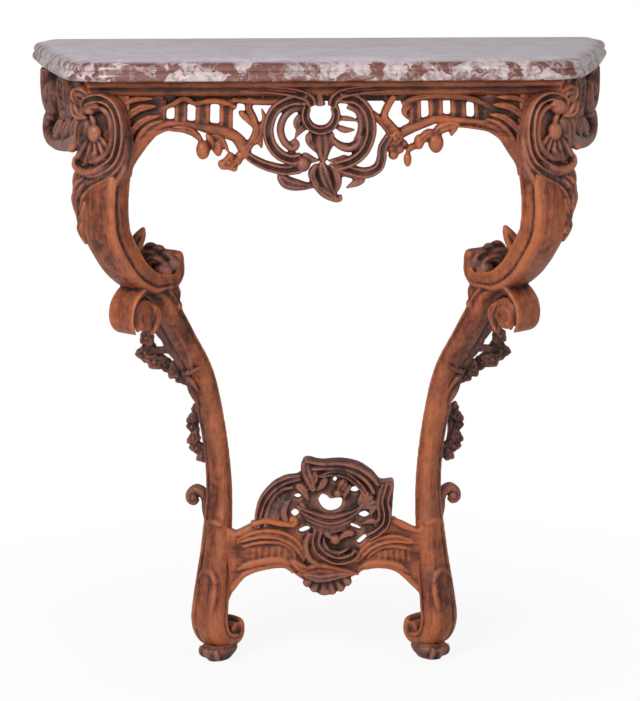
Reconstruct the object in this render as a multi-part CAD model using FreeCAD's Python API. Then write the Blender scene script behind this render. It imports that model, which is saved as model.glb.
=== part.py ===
import FreeCAD, Part
import math
import os

os.makedirs("parts", exist_ok=True)

Vector = FreeCAD.Vector

# Carved wall table. X runs to the right, Y to the wall, Z up.
# The origin is on the floor under the middle of the slab. Lengths are in millimetres.

# Overall sizes
HEIGHT = 880.0
TOP_WIDTH = 840.0
TOP_DEPTH = 400.0
TOP_THICKNESS = 30.0

# Fits
GLUE_GAP = 0.15
TENON_CLEARANCE = 0.2
OVERRUN = 40.0

# Slab: plan and moulded edge
TOP_FRONT_TAPER = 125.0
TOP_SHOULDER_TAPER = 70.0
TOP_SHOULDER_SET = 62.0
TOP_SIDE_BOW = 4.0
TOP_CORNER_BOW = 9.0
TOP_FIELD_INSET = 22.0
TOP_FIELD_RISE = 4.0
TOP_UPPER_ROUND = 14.0
TOP_LOWER_ROUND = 8.0

# Rails
FRONT_OVERHANG = 34.0
SIDE_OVERHANG = 26.0
RAIL_THICKNESS = 24.0
FRONT_RAIL_HEIGHT = 22.0
FRONT_RAIL_ROUND = 6.0
SIDE_RAIL_HEIGHT = 52.0
SIDE_RAIL_SHIFT = 10.0
BACK_RAIL_HEIGHT = 60.0
BACK_RAIL_LAP = 16.0
TENON_LENGTH = 22.0
REAR_TENON_LENGTH = 14.0
TENON_THICKNESS = 9.0
FRONT_TENON_HEIGHT = 14.0
SIDE_TENON_HEIGHT = 30.0
PEG_RADIUS = 3.0
PEG_HALF = 20.0
CORNER_BLOCK_SIDE = 34.0
CORNER_BLOCK_HEIGHT = 40.0
WALL_SCREW_RADIUS = 4.0
WALL_SCREW_SPACING = 500.0
WALL_SCREW_DROP = 30.0

# Leg posts
POST_INSET = 136.0
POST_WIDTH = 62.0
POST_DEPTH = 46.0
POST_DROP = 108.0
POST_SETBACK = 4.0

# Leg scrolls: a band that sweeps outward and forward in one upright plane
KNEE_INSET = 122.0
FOOT_SPACING = 316.0
FOOT_Y = 0.0
KNEE_BULGE = 16.0
KNEE_WIDTH = 56.0
KNEE_DEPTH = 26.0
SECTION_ROUND_SHARE = 0.22
VOLUTE_RADIUS = 24.0
VOLUTE_LENGTH = 48.0
VOLUTE_SHARES = (0.743, 0.615)

# Stations down the knee: outward, rise, width and depth
KNEE_SHARES = (
    (0.914, 0.918, 1.00, 1.00),
    (0.964, 0.865, 1.02, 1.05),
    (1.000, 0.812, 1.02, 1.05),
    (0.979, 0.762, 1.00, 1.00),
    (0.893, 0.724, 0.98, 1.00),
    (0.800, 0.694, 0.95, 0.98),
    (0.700, 0.675, 0.92, 0.92),
    (0.600, 0.666, 0.88, 0.80),
    (0.514, 0.664, 0.84, 0.60),
)

# Stations down the lower leg, in the same order
SHIN_SHARES = (
    (0.743, 0.642, 0.82, 0.70),
    (0.620, 0.650, 0.80, 0.90),
    (0.500, 0.632, 0.78, 1.00),
    (0.400, 0.600, 0.75, 1.00),
    (0.300, 0.567, 0.71, 0.96),
    (0.121, 0.500, 0.64, 0.90),
    (0.000, 0.400, 0.58, 0.88),
    (-0.050, 0.300, 0.60, 0.90),
    (-0.014, 0.200, 0.72, 1.00),
    (0.050, 0.106, 0.80, 1.08),
    (0.064, 0.068, 0.80, 1.12),
    (0.021, 0.041, 0.80, 1.08),
    (-0.064, 0.029, 0.80, 0.86),
)

# Curled ends of the knee and of the foot: outward and rise of the centre
KNEE_CURL_SHARES = (0.486, 0.687)
KNEE_CURL_RADIUS = 20.0
KNEE_CURL_BAND = 14.0
KNEE_CURL_LENGTH = 44.0
KNEE_CURL_ANGLES = (130.0, 300.0)
FOOT_CURL_SHARES = (-0.129, 0.0395)
FOOT_CURL_RADIUS = 12.5
FOOT_CURL_BAND = 12.0
FOOT_CURL_LENGTH = 42.0
FOOT_CURL_ANGLES = (110.0, 330.0)

# Feet
PAD_HEIGHT = 15.0
PAD_WIDTH = 50.0
PAD_DEPTH = 66.0
PAD_ROUND = 18.0
PAD_BEVEL = 5.0
PAD_SHIFT = 6.0
DOWEL_RADIUS = 4.0
DOWEL_HALF = 9.0

# Apron panels under the front rail
APRON_THICKNESS = 20.0
APRON_SETBACK = 6.0
APRON_DROP = 88.0
APRON_DOWEL_SHARES = (0.12, 0.80)
POST_DOWEL_DROP = 30.0
SLOT_RADIUS = 4.0
SLOT_LENGTH = 18.0
SLOT_DROP = 24.0
SLOT_SHARES = (0.22, 0.41, 0.60)

# Lower edge of a panel: run from the cartouche to the post, and rise from the deepest level
APRON_EDGE_SHARES = (
    (0.00, 0.10),
    (0.12, 0.05),
    (0.28, 0.24),
    (0.47, 0.46),
    (0.64, 0.52),
    (0.82, 0.38),
    (1.00, 0.00),
)

# Middle ornament of the apron
CARTOUCHE_WIDTH = 190.0
CARTOUCHE_DROP = 108.0
CARTOUCHE_RELIEF = 16.0
RING_SHIFT = -4.0
RING_DROP = 26.0
RING_RADIUS = 14.5
RING_BAND = 8.0
RING_RELIEF = 8.0
CROWN_DOWEL_SHARE = 0.86

# Lower edge of the ornament from left to right: run, and rise from its deepest level
CARTOUCHE_EDGE_SHARES = (
    (0.00, 0.20),
    (0.06, 0.10),
    (0.16, 0.08),
    (0.28, 0.02),
    (0.40, 0.04),
    (0.60, 0.04),
    (0.72, 0.02),
    (0.84, 0.10),
    (0.94, 0.10),
    (1.00, 0.20),
)

# Piercings of the ornament: run, drop and radius
CARTOUCHE_HOLE_SHARES = (
    (0.20, 0.16, 0.050),
    (0.12, 0.38, 0.036),
    (0.26, 0.52, 0.030),
    (0.82, 0.16, 0.050),
    (0.88, 0.38, 0.036),
    (0.76, 0.52, 0.030),
    (0.42, 0.80, 0.020),
    (0.50, 0.86, 0.020),
    (0.58, 0.80, 0.020),
)

# Scrolls in relief on the ornament: run, drop, radius, first and last angle
CARTOUCHE_SCROLL_SHARES = (
    (0.24, 0.30, 0.24, (60.0, 250.0)),
    (0.76, 0.30, 0.24, (-70.0, 120.0)),
    (0.36, 0.70, 0.14, (150.0, 330.0)),
    (0.64, 0.70, 0.14, (210.0, 390.0)),
)
SCROLL_BAND = 11.0
EYE_SHARE = 0.75

# Leaf tip under the ornament
PENDANT_WIDTH = 76.0
PENDANT_DROP = 32.0
PENDANT_LEAN = 17.0
PENDANT_LAP = 14.0
PENDANT_THICKNESS = 18.0
PENDANT_SHOULDER_SHARE = 0.5

# Sprays under the arches: radius and length of each lobe in the row
SPRAY_THICKNESS = 16.0
SPRAY_LOBE = 12.0
SPRAY_REACH = 24.0
SPRAY_START = 15.8
SPRAY_SPACING = 20.5
SPRAY_SHARES = (
    (1.00, 0.60),
    (1.00, 0.90),
    (0.90, 1.00),
)

# Carving on the corner of the post
SHELL_WIDTH = 74.0
SHELL_HEIGHT = 104.0
SHELL_BULGE = 17.0
SHELL_DROP = 72.0
SHELL_SHIFT = 8.0
SHELL_YAW = 25.0
SHELL_ANGLES = (80.0, 290.0)
SHELL_RIM = 12.0
SHELL_RIM_DEPTH = 14.0

# Carving on the knee
LEAF_HALF_WIDTH = 15.0
LEAF_HALF_LENGTH = 46.0
LEAF_THICKNESS = 18.0
LEAF_STAND_OFF = 27.0
LEAF_STATION = 2
BUD_RADIUS = 15.0
BUD_LENGTH = 34.0
BUD_OUT_SHARE = 0.486
BUD_RISE_SHARE = 0.6905

# Carved scroll on the outer face of a side rail
DROP_LENGTH = 236.0
DROP_HEIGHT = 124.0
DROP_THICKNESS = 26.0
DROP_END_GAP = 6.0
DROP_TOP_GAP = 3.0

# Outline of the scroll: run from its rear end, and rise from its lowest level
DROP_EDGE_SHARES = (
    (0.00, 1.00),
    (0.00, 0.55),
    (0.05, 0.22),
    (0.16, 0.02),
    (0.36, 0.03),
    (0.50, 0.18),
    (0.64, 0.38),
    (0.82, 0.50),
    (1.00, 0.58),
    (1.00, 1.00),
)

# Flower swag on the lower leg: rise, and stand-off from the line of the leg
SWAG_FLOWER = 11.0
SWAG_DEPTH = 22.0
SWAG_STAND_OFF = 62.0
SWAG_SHARES = (
    (0.578, 0.46),
    (0.561, 0.80),
    (0.541, 1.00),
    (0.523, 0.92),
    (0.509, 0.72),
    (0.497, 0.52),
)

# Bud chain on the lower leg
BUD_CHAIN_RADIUS = 7.5
BUD_CHAIN_DEPTH = 16.0
BUD_CHAIN_STAND_OFF = 21.0
BUD_CHAIN_SPACING = 12.75
BUD_CHAIN_COUNT = 6
BUD_CHAIN_RISE_SHARE = 0.435

# Small scroll bracket on the lower leg
CURL_RADIUS = 13.0
CURL_BAND = 7.0
CURL_DEPTH = 16.0
CURL_RISE_SHARE = 0.273
CURL_STAND_OFF = 30.0
CURL_ANGLES = (100.0, 400.0)

# Stretcher
STRETCHER_INSET = 26.0
STRETCHER_THICKNESS = 28.0
STRETCHER_TOP = 192.0
STRETCHER_LOW = 101.0
STRETCHER_TENON_HEIGHT = 36.0
STRETCHER_TENON_THICKNESS = 9.0
STRETCHER_TENON_LENGTH = 20.0
STRETCHER_TENON_RISE = 150.0

# Lower edge of the stretcher from the middle to the leg: run, and rise from its lowest level
STRETCHER_EDGE_SHARES = (
    (0.28, 0.22),
    (0.36, 0.36),
    (0.48, 0.44),
    (0.68, 0.38),
    (0.86, 0.20),
    (1.00, 0.00),
)

# Pierced shell on the stretcher
CREST_WIDTH = 200.0
CREST_HEIGHT = 108.0
CREST_RELIEF = 10.0

# Outline of the shell from left to right: run from the middle, and rise
CREST_EDGE_SHARES = (
    (-1.00, 0.00),
    (-0.95, 0.24),
    (-0.86, 0.48),
    (-0.66, 0.70),
    (-0.40, 0.76),
    (-0.24, 0.97),
    (0.08, 1.00),
    (0.52, 0.92),
    (0.74, 0.72),
    (0.95, 0.58),
    (0.93, 0.26),
    (1.00, 0.00),
)

# Piercings of the shell: run from the middle, rise and radius
CREST_HOLE_SHARES = (
    (0.09, 0.40, 0.15),
    (-0.42, 0.50, 0.040),
    (-0.43, 0.26, 0.045),
    (-0.36, 0.06, 0.035),
    (0.06, 0.72, 0.040),
    (0.42, 0.56, 0.045),
    (0.60, 0.28, 0.050),
    (0.48, 0.07, 0.035),
)

# Scrolls in relief on the shell and the bar: run, rise, radius, first and last angle
CREST_SCROLL_SHARES = (
    (0.18, -0.18, 0.21, (60.0, 330.0)),
    (-0.55, 0.30, 0.32, (80.0, 280.0)),
    (0.62, 0.30, 0.32, (-100.0, 100.0)),
)
CREST_BAND = 9.0
CREST_DOWEL_SHARES = (-0.66, 0.76)

# Small shell under the stretcher
BASE_SHELL_WIDTH = 66.0
BASE_SHELL_DROP = 24.0

# Places that follow from the sizes
FRAME_TOP = HEIGHT - TOP_THICKNESS
WALL_FACE = TOP_DEPTH / 2
FRONT_FACE = FRONT_OVERHANG - TOP_DEPTH / 2
POST_X = TOP_WIDTH / 2 - POST_INSET
KNEE_REACH = TOP_WIDTH / 2 - KNEE_INSET
FOOT_REACH = FOOT_SPACING / 2
LEG_SWEEP = KNEE_REACH - FOOT_REACH
STRETCHER_SPAN = (FOOT_REACH - STRETCHER_INSET) * 2
POST_INNER = POST_X - POST_WIDTH / 2
POST_OUTER = POST_X + POST_WIDTH / 2
POST_FRONT = FRONT_FACE + POST_SETBACK
POST_BACK = POST_FRONT + POST_DEPTH
POST_Y = (POST_FRONT + POST_BACK) / 2
KNEE_Y = POST_Y - KNEE_BULGE
LEG_YAW = math.degrees(math.atan2(LEG_SWEEP, FOOT_Y - KNEE_Y))
QUARTER_TURN = 90.0
RAIL_UNDERSIDE = FRAME_TOP - FRONT_RAIL_HEIGHT
BACK_RAIL_FRONT = WALL_FACE - RAIL_THICKNESS
CARTOUCHE_EDGE = CARTOUCHE_WIDTH / 2
APRON_FRONT = FRONT_FACE + APRON_SETBACK
APRON_BACK = APRON_FRONT + APRON_THICKNESS


def box(low, high):
    """Upright block between two corners."""
    size = high - low
    return Part.makeBox(size.x, size.y, size.z, low)


def rod(radius, start, end):
    """Round bar between two points."""
    return Part.makeCylinder(radius, (end - start).Length, start, end - start)


def curve_through(points):
    """Smooth edge through a row of points."""
    curve = Part.BSplineCurve()
    curve.interpolate(points)
    return curve.toShape()


def plate(edges, depth):
    """Board cut to an upright outline and run back by its depth."""
    face = Part.Face(Part.Wire(edges))
    return face.extrude(Vector(0, depth, 0))


def join(pieces):
    """One solid from pieces that overlap."""
    solid = pieces[0].fuse(pieces[1:])
    return solid.removeSplitter()


def mirrored(shape):
    """The same piece on the other side of the middle plane."""
    return shape.mirror(Vector(0, 0, 0), Vector(1, 0, 0))


def turned(shape, angle, centre):
    """Piece turned about an upright axis."""
    copy = shape.copy()
    copy.rotate(centre, Vector(0, 0, 1), angle)
    return copy


def polar(centre, distance, angle):
    """Point at a distance and an angle from a centre, in the upright plane."""
    turn = math.radians(angle)
    return centre + Vector(distance * math.cos(turn), 0, distance * math.sin(turn))


def arc_band(centre, radius, band, angles, depth):
    """Band on an arc, run back by its depth."""
    first, last = angles
    outer = radius + band / 2
    inner = radius - band / 2
    middle = (first + last) / 2
    outer_arc = Part.Arc(
        polar(centre, outer, first),
        polar(centre, outer, middle),
        polar(centre, outer, last),
    )
    inner_arc = Part.Arc(
        polar(centre, inner, last),
        polar(centre, inner, middle),
        polar(centre, inner, first),
    )
    edges = [
        outer_arc.toShape(),
        Part.makeLine(polar(centre, outer, last), polar(centre, inner, last)),
        inner_arc.toShape(),
        Part.makeLine(polar(centre, inner, first), polar(centre, outer, first)),
    ]
    return plate(edges, depth)


def scroll(centre, radius, band, angles, depth):
    """C-scroll: a band on an arc with a round eye at each end."""
    run = Vector(0, depth, 0)
    pieces = [arc_band(centre, radius, band, angles, depth)]
    for angle in angles:
        eye = polar(centre, radius, angle)
        pieces.append(rod(band * EYE_SHARE, eye, eye + run))
    return join(pieces)


# Slab
def slab_outline(inset, level):
    """Plan of the slab, drawn in from its sides and front."""
    back = WALL_FACE
    front = inset - TOP_DEPTH / 2
    rear_x = TOP_WIDTH / 2 - inset
    shoulder = Vector(rear_x - TOP_SHOULDER_TAPER, front + TOP_SHOULDER_SET, level)
    rear = Vector(rear_x, back, level)
    nose = Vector(rear_x - TOP_FRONT_TAPER, front, level)
    side_middle = (rear + shoulder) / 2 + Vector(TOP_SIDE_BOW, 0, 0)
    corner_middle = (shoulder + nose) / 2 + Vector(TOP_CORNER_BOW, -TOP_CORNER_BOW, 0)
    side = Part.BSplineCurve()
    tangent_in = side_middle - rear
    tangent_out = Vector(nose.x - shoulder.x, 0, 0)
    side.interpolate(
        Points=[rear, side_middle, shoulder, corner_middle, nose],
        InitialTangent=tangent_in.normalize(),
        FinalTangent=tangent_out.normalize(),
    )
    right = side.toShape()
    left = mirrored(right)
    mirror_rear = Vector(-rear.x, rear.y, level)
    mirror_nose = Vector(-nose.x, nose.y, level)
    edges = [right, Part.makeLine(nose, mirror_nose), left, Part.makeLine(mirror_rear, rear)]
    return Part.Wire(Part.__sortEdges__(edges))


def build_slab():
    """Marble slab: a body with rounded edges under a raised field."""
    body_height = TOP_THICKNESS - TOP_FIELD_RISE
    body = Part.Face(slab_outline(0, FRAME_TOP)).extrude(Vector(0, 0, body_height))
    upper = [edge for edge in body.Edges if on_level(edge, FRAME_TOP + body_height)]
    body = body.makeFillet(TOP_UPPER_ROUND, upper)
    lower = [edge for edge in body.Edges if on_level(edge, FRAME_TOP)]
    body = body.makeFillet(TOP_LOWER_ROUND, lower)
    field_height = TOP_FIELD_RISE + TOP_FIELD_RISE
    field_level = FRAME_TOP + body_height - TOP_FIELD_RISE
    field = Part.Face(slab_outline(TOP_FIELD_INSET, field_level)).extrude(Vector(0, 0, field_height))
    return body.fuse(field).removeSplitter()


def on_level(edge, level):
    """True for the slab's edges at one level, along the sides and the front."""
    bounds = edge.BoundBox
    reach = max(abs(bounds.ZMax - level), abs(bounds.ZMin - level))
    return reach < TOP_FIELD_RISE / 2 and bounds.YMin < WALL_FACE - TOP_FIELD_RISE


# Leg
def station(shares):
    """Point, width and depth of the right leg at one station."""
    out, rise, width, depth = shares
    return leg_point(out, rise), width * KNEE_WIDTH, depth * KNEE_DEPTH


def leg_point(out, rise):
    """Point in the plane of the right leg."""
    return Vector(
        FOOT_REACH + out * LEG_SWEEP,
        FOOT_Y + out * (KNEE_Y - FOOT_Y),
        rise * FRAME_TOP,
    )


def facing(yaw):
    """Direction a leg's front looks in, turned outward by a yaw."""
    turn = math.radians(yaw)
    return Vector(math.sin(turn), -math.cos(turn), 0)


def across_leg():
    """Direction across the band of the right leg, outward and back."""
    turn = math.radians(LEG_YAW)
    return Vector(math.cos(turn), math.sin(turn), 0)


def section(point, across, front, width, depth):
    """Rounded rectangle across the line of the leg."""
    round_corner = SECTION_ROUND_SHARE * min(width, depth)
    half_width = width / 2
    half_depth = depth / 2
    straight_width = half_width - round_corner
    straight_depth = half_depth - round_corner
    reach = round_corner * math.sqrt(0.5)

    def at(sideways, forwards):
        return point + across * sideways + front * forwards

    edges = []
    for side, face in ((1, 1), (-1, 1), (-1, -1), (1, -1)):
        corner_side = side * straight_width
        corner_face = face * straight_depth
        on_side = at(side * half_width, corner_face)
        on_face = at(corner_side, face * half_depth)
        on_round = at(side * (straight_width + reach), face * (straight_depth + reach))
        if side == face:
            edges.append((on_side, on_round, on_face))
        else:
            edges.append((on_face, on_round, on_side))
    wire = []
    for index, (start, middle, end) in enumerate(edges):
        wire.append(Part.Arc(start, middle, end).toShape())
        next_start = edges[(index + 1) % len(edges)][0]
        wire.append(Part.makeLine(end, next_start))
    return Part.Wire(wire)


def swept(table):
    """Solid through the sections of a row of stations."""
    stops = [station(row) for row in table]
    points = [stop[0] for stop in stops]
    wires = []
    for index, (point, width, depth) in enumerate(stops):
        before = points[max(index - 1, 0)]
        after = points[min(index + 1, len(points) - 1)]
        along = (after - before).normalize()
        across = facing(LEG_YAW).cross(along).normalize()
        front = along.cross(across).normalize()
        wires.append(section(point, across, front, width, depth))
    return Part.makeLoft(wires, True, False)


def leg_line(rise):
    """Point on the line of the lower leg at a share of its height."""
    for upper, lower in zip(SHIN_SHARES, SHIN_SHARES[1:]):
        if upper[1] > rise >= lower[1]:
            share = (upper[1] - rise) / (upper[1] - lower[1])
            return leg_point(upper[0] + (lower[0] - upper[0]) * share, rise)
    return leg_point(SHIN_SHARES[-1][0], rise)


def curled_end(shares, radius, band, angles, length):
    """Curl that ends a scroll of the right leg, in the plane of the leg."""
    out, rise = shares
    centre = leg_point(out, rise)
    curl = arc_band(centre - Vector(0, length / 2, 0), radius, band, angles, length)
    return turned(curl, LEG_YAW - QUARTER_TURN, centre)


def build_leg():
    """Right leg: post, knee scroll, volute and lower leg in one piece."""
    post = box(
        Vector(POST_INNER, POST_FRONT, FRAME_TOP - POST_DROP),
        Vector(POST_OUTER, POST_BACK, FRAME_TOP),
    )
    out, rise = VOLUTE_SHARES
    centre = leg_point(out, rise)
    reach = across_leg() * (VOLUTE_LENGTH / 2)
    leg = join([
        post,
        swept(KNEE_SHARES),
        swept(SHIN_SHARES),
        rod(VOLUTE_RADIUS, centre - reach, centre + reach),
        curled_end(KNEE_CURL_SHARES, KNEE_CURL_RADIUS, KNEE_CURL_BAND, KNEE_CURL_ANGLES, KNEE_CURL_LENGTH),
        curled_end(FOOT_CURL_SHARES, FOOT_CURL_RADIUS, FOOT_CURL_BAND, FOOT_CURL_ANGLES, FOOT_CURL_LENGTH),
    ])
    under = box(
        Vector(0, FOOT_Y - OVERRUN - PAD_DEPTH, -OVERRUN),
        Vector(KNEE_REACH, FOOT_Y + OVERRUN + PAD_DEPTH, PAD_HEIGHT),
    )
    return leg.cut(under)


parts = {}


def pair(name, shape):
    """Put a right-hand piece and its mirror twin in the list."""
    parts["right_" + name] = shape
    parts["left_" + name] = mirrored(shape)


def cut_pair(name, tool):
    """Cut the right-hand piece of a pair, and its twin with the mirrored tool."""
    parts["right_" + name] = parts["right_" + name].cut(tool)
    parts["left_" + name] = parts["left_" + name].cut(mirrored(tool))


def seated(shape, host, *ways):
    """Piece cut to sit on its host, with the glue line left open in the ways given."""
    piece = shape
    for way in ways:
        grown = host.copy()
        grown.translate(way * GLUE_GAP)
        piece = piece.cut(grown)
    return max(piece.Solids, key=volume_of)


def volume_of(solid):
    """Size by which the main piece of a cut is found."""
    return solid.Volume


def pin(centre, axis, radius, half):
    """Round pin through a point, and the hole it sits in."""
    reach = axis * half
    slack = axis * (half + GLUE_GAP)
    solid = rod(radius, centre - reach, centre + reach)
    hole = rod(radius + GLUE_GAP, centre - slack, centre + slack)
    return solid, hole


def ellipsoid(centre, half_x, half_y, half_z):
    """Ball drawn out along the three axes."""
    ball = Part.makeSphere(half_x)
    stretch = FreeCAD.Matrix()
    stretch.scale(1, half_y / half_x, half_z / half_x)
    shape = ball.transformGeometry(stretch)
    shape.translate(centre)
    return shape


ALONG_X = Vector(1, 0, 0)
ALONG_Y = Vector(0, 1, 0)
ALONG_Z = Vector(0, 0, 1)

parts["marble_top"] = build_slab()
bare_leg = build_leg()
pair("leg", bare_leg)

# Front rail with a tenon at each end
front_rail = box(
    Vector(-POST_INNER, FRONT_FACE, RAIL_UNDERSIDE),
    Vector(POST_INNER, FRONT_FACE + RAIL_THICKNESS, FRAME_TOP),
)
front_edges = [edge for edge in front_rail.Edges
               if edge.BoundBox.YMax < FRONT_FACE + TENON_CLEARANCE
               and edge.BoundBox.XLength > POST_INNER
               and edge.BoundBox.ZMax < FRAME_TOP - TENON_CLEARANCE]
front_rail = front_rail.makeFillet(FRONT_RAIL_ROUND, front_edges)
front_tenon_y = FRONT_FACE + RAIL_THICKNESS / 2
front_tenon_z = FRAME_TOP - FRONT_RAIL_HEIGHT / 2


def front_tenon(slack):
    """Tenons of the front rail in one bar, with slack all round."""
    half = Vector(
        POST_INNER + TENON_LENGTH + slack,
        TENON_THICKNESS / 2 + slack,
        FRONT_TENON_HEIGHT / 2 + slack,
    )
    middle = Vector(0, front_tenon_y, front_tenon_z)
    return box(middle - half, middle + half)


parts["front_rail"] = front_rail.fuse(front_tenon(0)).removeSplitter()
cut_pair("leg", front_tenon(TENON_CLEARANCE))

# Side rails, splayed from the posts to the back rail
side_start = Vector(POST_X + SIDE_RAIL_SHIFT, POST_BACK, 0)
side_end = Vector(TOP_WIDTH / 2 - SIDE_OVERHANG - RAIL_THICKNESS / 2, BACK_RAIL_FRONT, 0)
side_length = (side_end - side_start).Length
side_splay = -math.degrees(math.atan2(side_end.x - side_start.x, side_end.y - side_start.y))
side_middle_z = FRAME_TOP - SIDE_RAIL_HEIGHT / 2


def along_side(half_thickness, half_height, front_reach, rear_reach):
    """Bar along the line of the right side rail, with a reach past either end."""
    low = Vector(-half_thickness, -front_reach, side_middle_z - half_height)
    high = Vector(half_thickness, side_length + rear_reach, side_middle_z + half_height)
    bar = box(low, high)
    bar.rotate(Vector(0, 0, 0), ALONG_Z, side_splay)
    bar.translate(side_start)
    return bar


def side_tenon(slack):
    """Tenons of a side rail in one bar, with slack all round."""
    return along_side(
        TENON_THICKNESS / 2 + slack,
        SIDE_TENON_HEIGHT / 2 + slack,
        TENON_LENGTH + slack,
        REAR_TENON_LENGTH + slack,
    )


side_bar = along_side(RAIL_THICKNESS / 2, SIDE_RAIL_HEIGHT / 2, OVERRUN, OVERRUN)
side_room = box(
    Vector(0, POST_BACK, 0),
    Vector(TOP_WIDTH, BACK_RAIL_FRONT, HEIGHT),
)
side_rail = side_bar.common(side_room)
pair("side_rail", side_rail.fuse(side_tenon(0)).removeSplitter())
cut_pair("leg", side_tenon(TENON_CLEARANCE))

# Back rail with its screw holes
back_rail_half = side_end.x + BACK_RAIL_LAP
back_rail = box(
    Vector(-back_rail_half, BACK_RAIL_FRONT, FRAME_TOP - BACK_RAIL_HEIGHT),
    Vector(back_rail_half, WALL_FACE, FRAME_TOP),
)
back_rail = back_rail.cut(side_tenon(TENON_CLEARANCE))
back_rail = back_rail.cut(mirrored(side_tenon(TENON_CLEARANCE)))
for side in (-1, 1):
    hole_start = Vector(
        side * WALL_SCREW_SPACING / 2,
        BACK_RAIL_FRONT - OVERRUN,
        FRAME_TOP - WALL_SCREW_DROP,
    )
    hole_end = hole_start + ALONG_Y * (RAIL_THICKNESS + OVERRUN + OVERRUN)
    back_rail = back_rail.cut(rod(WALL_SCREW_RADIUS, hole_start, hole_end))
parts["back_rail"] = back_rail

# Glue blocks in the rear corners
block = box(
    Vector(
        side_end.x - RAIL_THICKNESS / 2 - CORNER_BLOCK_SIDE,
        BACK_RAIL_FRONT - CORNER_BLOCK_SIDE,
        FRAME_TOP - CORNER_BLOCK_HEIGHT,
    ),
    Vector(side_end.x, BACK_RAIL_FRONT, FRAME_TOP),
)
block = block.cut(side_bar)
parts["corner_blocks"] = Part.makeCompound([block, mirrored(block)])

# Pins through the tenons in the posts
pins = []
front_pin, front_hole = pin(
    Vector(POST_INNER + TENON_LENGTH / 2, POST_BACK - PEG_HALF, front_tenon_z),
    ALONG_Y,
    PEG_RADIUS,
    PEG_HALF,
)
parts["front_rail"] = parts["front_rail"].cut(front_hole).cut(mirrored(front_hole))
cut_pair("leg", front_hole)
side_pin, side_hole = pin(
    Vector(POST_OUTER - PEG_HALF, POST_BACK - TENON_LENGTH / 2, side_middle_z),
    ALONG_X,
    PEG_RADIUS,
    PEG_HALF,
)
cut_pair("side_rail", side_hole)
cut_pair("leg", side_hole)
for solid in (front_pin, side_pin):
    pins.append(solid)
    pins.append(mirrored(solid))
parts["frame_pegs"] = Part.makeCompound(pins)

# Pierced apron panels
apron_run = POST_INNER - CARTOUCHE_EDGE


def apron_edge_point(run, rise):
    """Point on the lower edge of the right panel."""
    return Vector(
        CARTOUCHE_EDGE + run * apron_run,
        APRON_FRONT,
        RAIL_UNDERSIDE - APRON_DROP + rise * APRON_DROP,
    )


def build_apron():
    """Right apron panel with its slots."""
    lower = [apron_edge_point(run, rise) for run, rise in APRON_EDGE_SHARES]
    inner_top = Vector(CARTOUCHE_EDGE, APRON_FRONT, RAIL_UNDERSIDE)
    outer_top = Vector(POST_INNER, APRON_FRONT, RAIL_UNDERSIDE)
    edges = [
        Part.makeLine(inner_top, lower[0]),
        curve_through(lower),
        Part.makeLine(lower[-1], outer_top),
        Part.makeLine(outer_top, inner_top),
    ]
    panel = plate(edges, APRON_THICKNESS)
    for share in SLOT_SHARES:
        slot_x = CARTOUCHE_EDGE + share * apron_run
        slot_z = RAIL_UNDERSIDE - SLOT_DROP
        half = SLOT_LENGTH / 2 - SLOT_RADIUS
        middle = box(
            Vector(slot_x - SLOT_RADIUS, APRON_FRONT - OVERRUN, slot_z - half),
            Vector(slot_x + SLOT_RADIUS, APRON_BACK + OVERRUN, slot_z + half),
        )
        panel = panel.cut(middle)
        for level in (slot_z - half, slot_z + half):
            start = Vector(slot_x, APRON_FRONT - OVERRUN, level)
            end = Vector(slot_x, APRON_BACK + OVERRUN, level)
            panel = panel.cut(rod(SLOT_RADIUS, start, end))
    return panel


bare_apron = build_apron()
pair("apron", bare_apron)


# Middle ornament of the apron
def cartouche_point(run, drop):
    """Point on the front of the ornament."""
    return Vector(
        run * CARTOUCHE_WIDTH - CARTOUCHE_EDGE,
        FRONT_FACE,
        RAIL_UNDERSIDE - drop * CARTOUCHE_DROP,
    )


def pierce(shape, centre, radius):
    """Round hole through an upright board."""
    start = centre - ALONG_Y * OVERRUN
    end = centre + ALONG_Y * (OVERRUN + OVERRUN)
    return shape.cut(rod(radius, start, end))


def build_cartouche():
    """Pierced board with scrolls in relief and a ring."""
    lower = [cartouche_point(run, 1 - rise) for run, rise in CARTOUCHE_EDGE_SHARES]
    left_top = cartouche_point(0, 0)
    right_top = cartouche_point(1, 0)
    edges = [
        Part.makeLine(left_top, lower[0]),
        curve_through(lower),
        Part.makeLine(lower[-1], right_top),
        Part.makeLine(right_top, left_top),
    ]
    pieces = [plate(edges, APRON_BACK - FRONT_FACE)]
    for run, drop, radius, angles in CARTOUCHE_SCROLL_SHARES:
        centre = cartouche_point(run, drop)
        size = radius * CARTOUCHE_WIDTH
        pieces.append(scroll(centre, size, SCROLL_BAND, angles, -CARTOUCHE_RELIEF))
    ring_centre = Vector(RING_SHIFT, FRONT_FACE, RAIL_UNDERSIDE - RING_DROP)
    ring_front = ring_centre - ALONG_Y * RING_RELIEF
    pieces.append(rod(RING_RADIUS + RING_BAND, ring_centre, ring_front))
    solid = join(pieces)
    solid = pierce(solid, ring_centre, RING_RADIUS)
    for run, drop, radius in CARTOUCHE_HOLE_SHARES:
        solid = pierce(solid, cartouche_point(run, drop), radius * CARTOUCHE_WIDTH)
    return solid


parts["apron_cartouche"] = build_cartouche()

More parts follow.
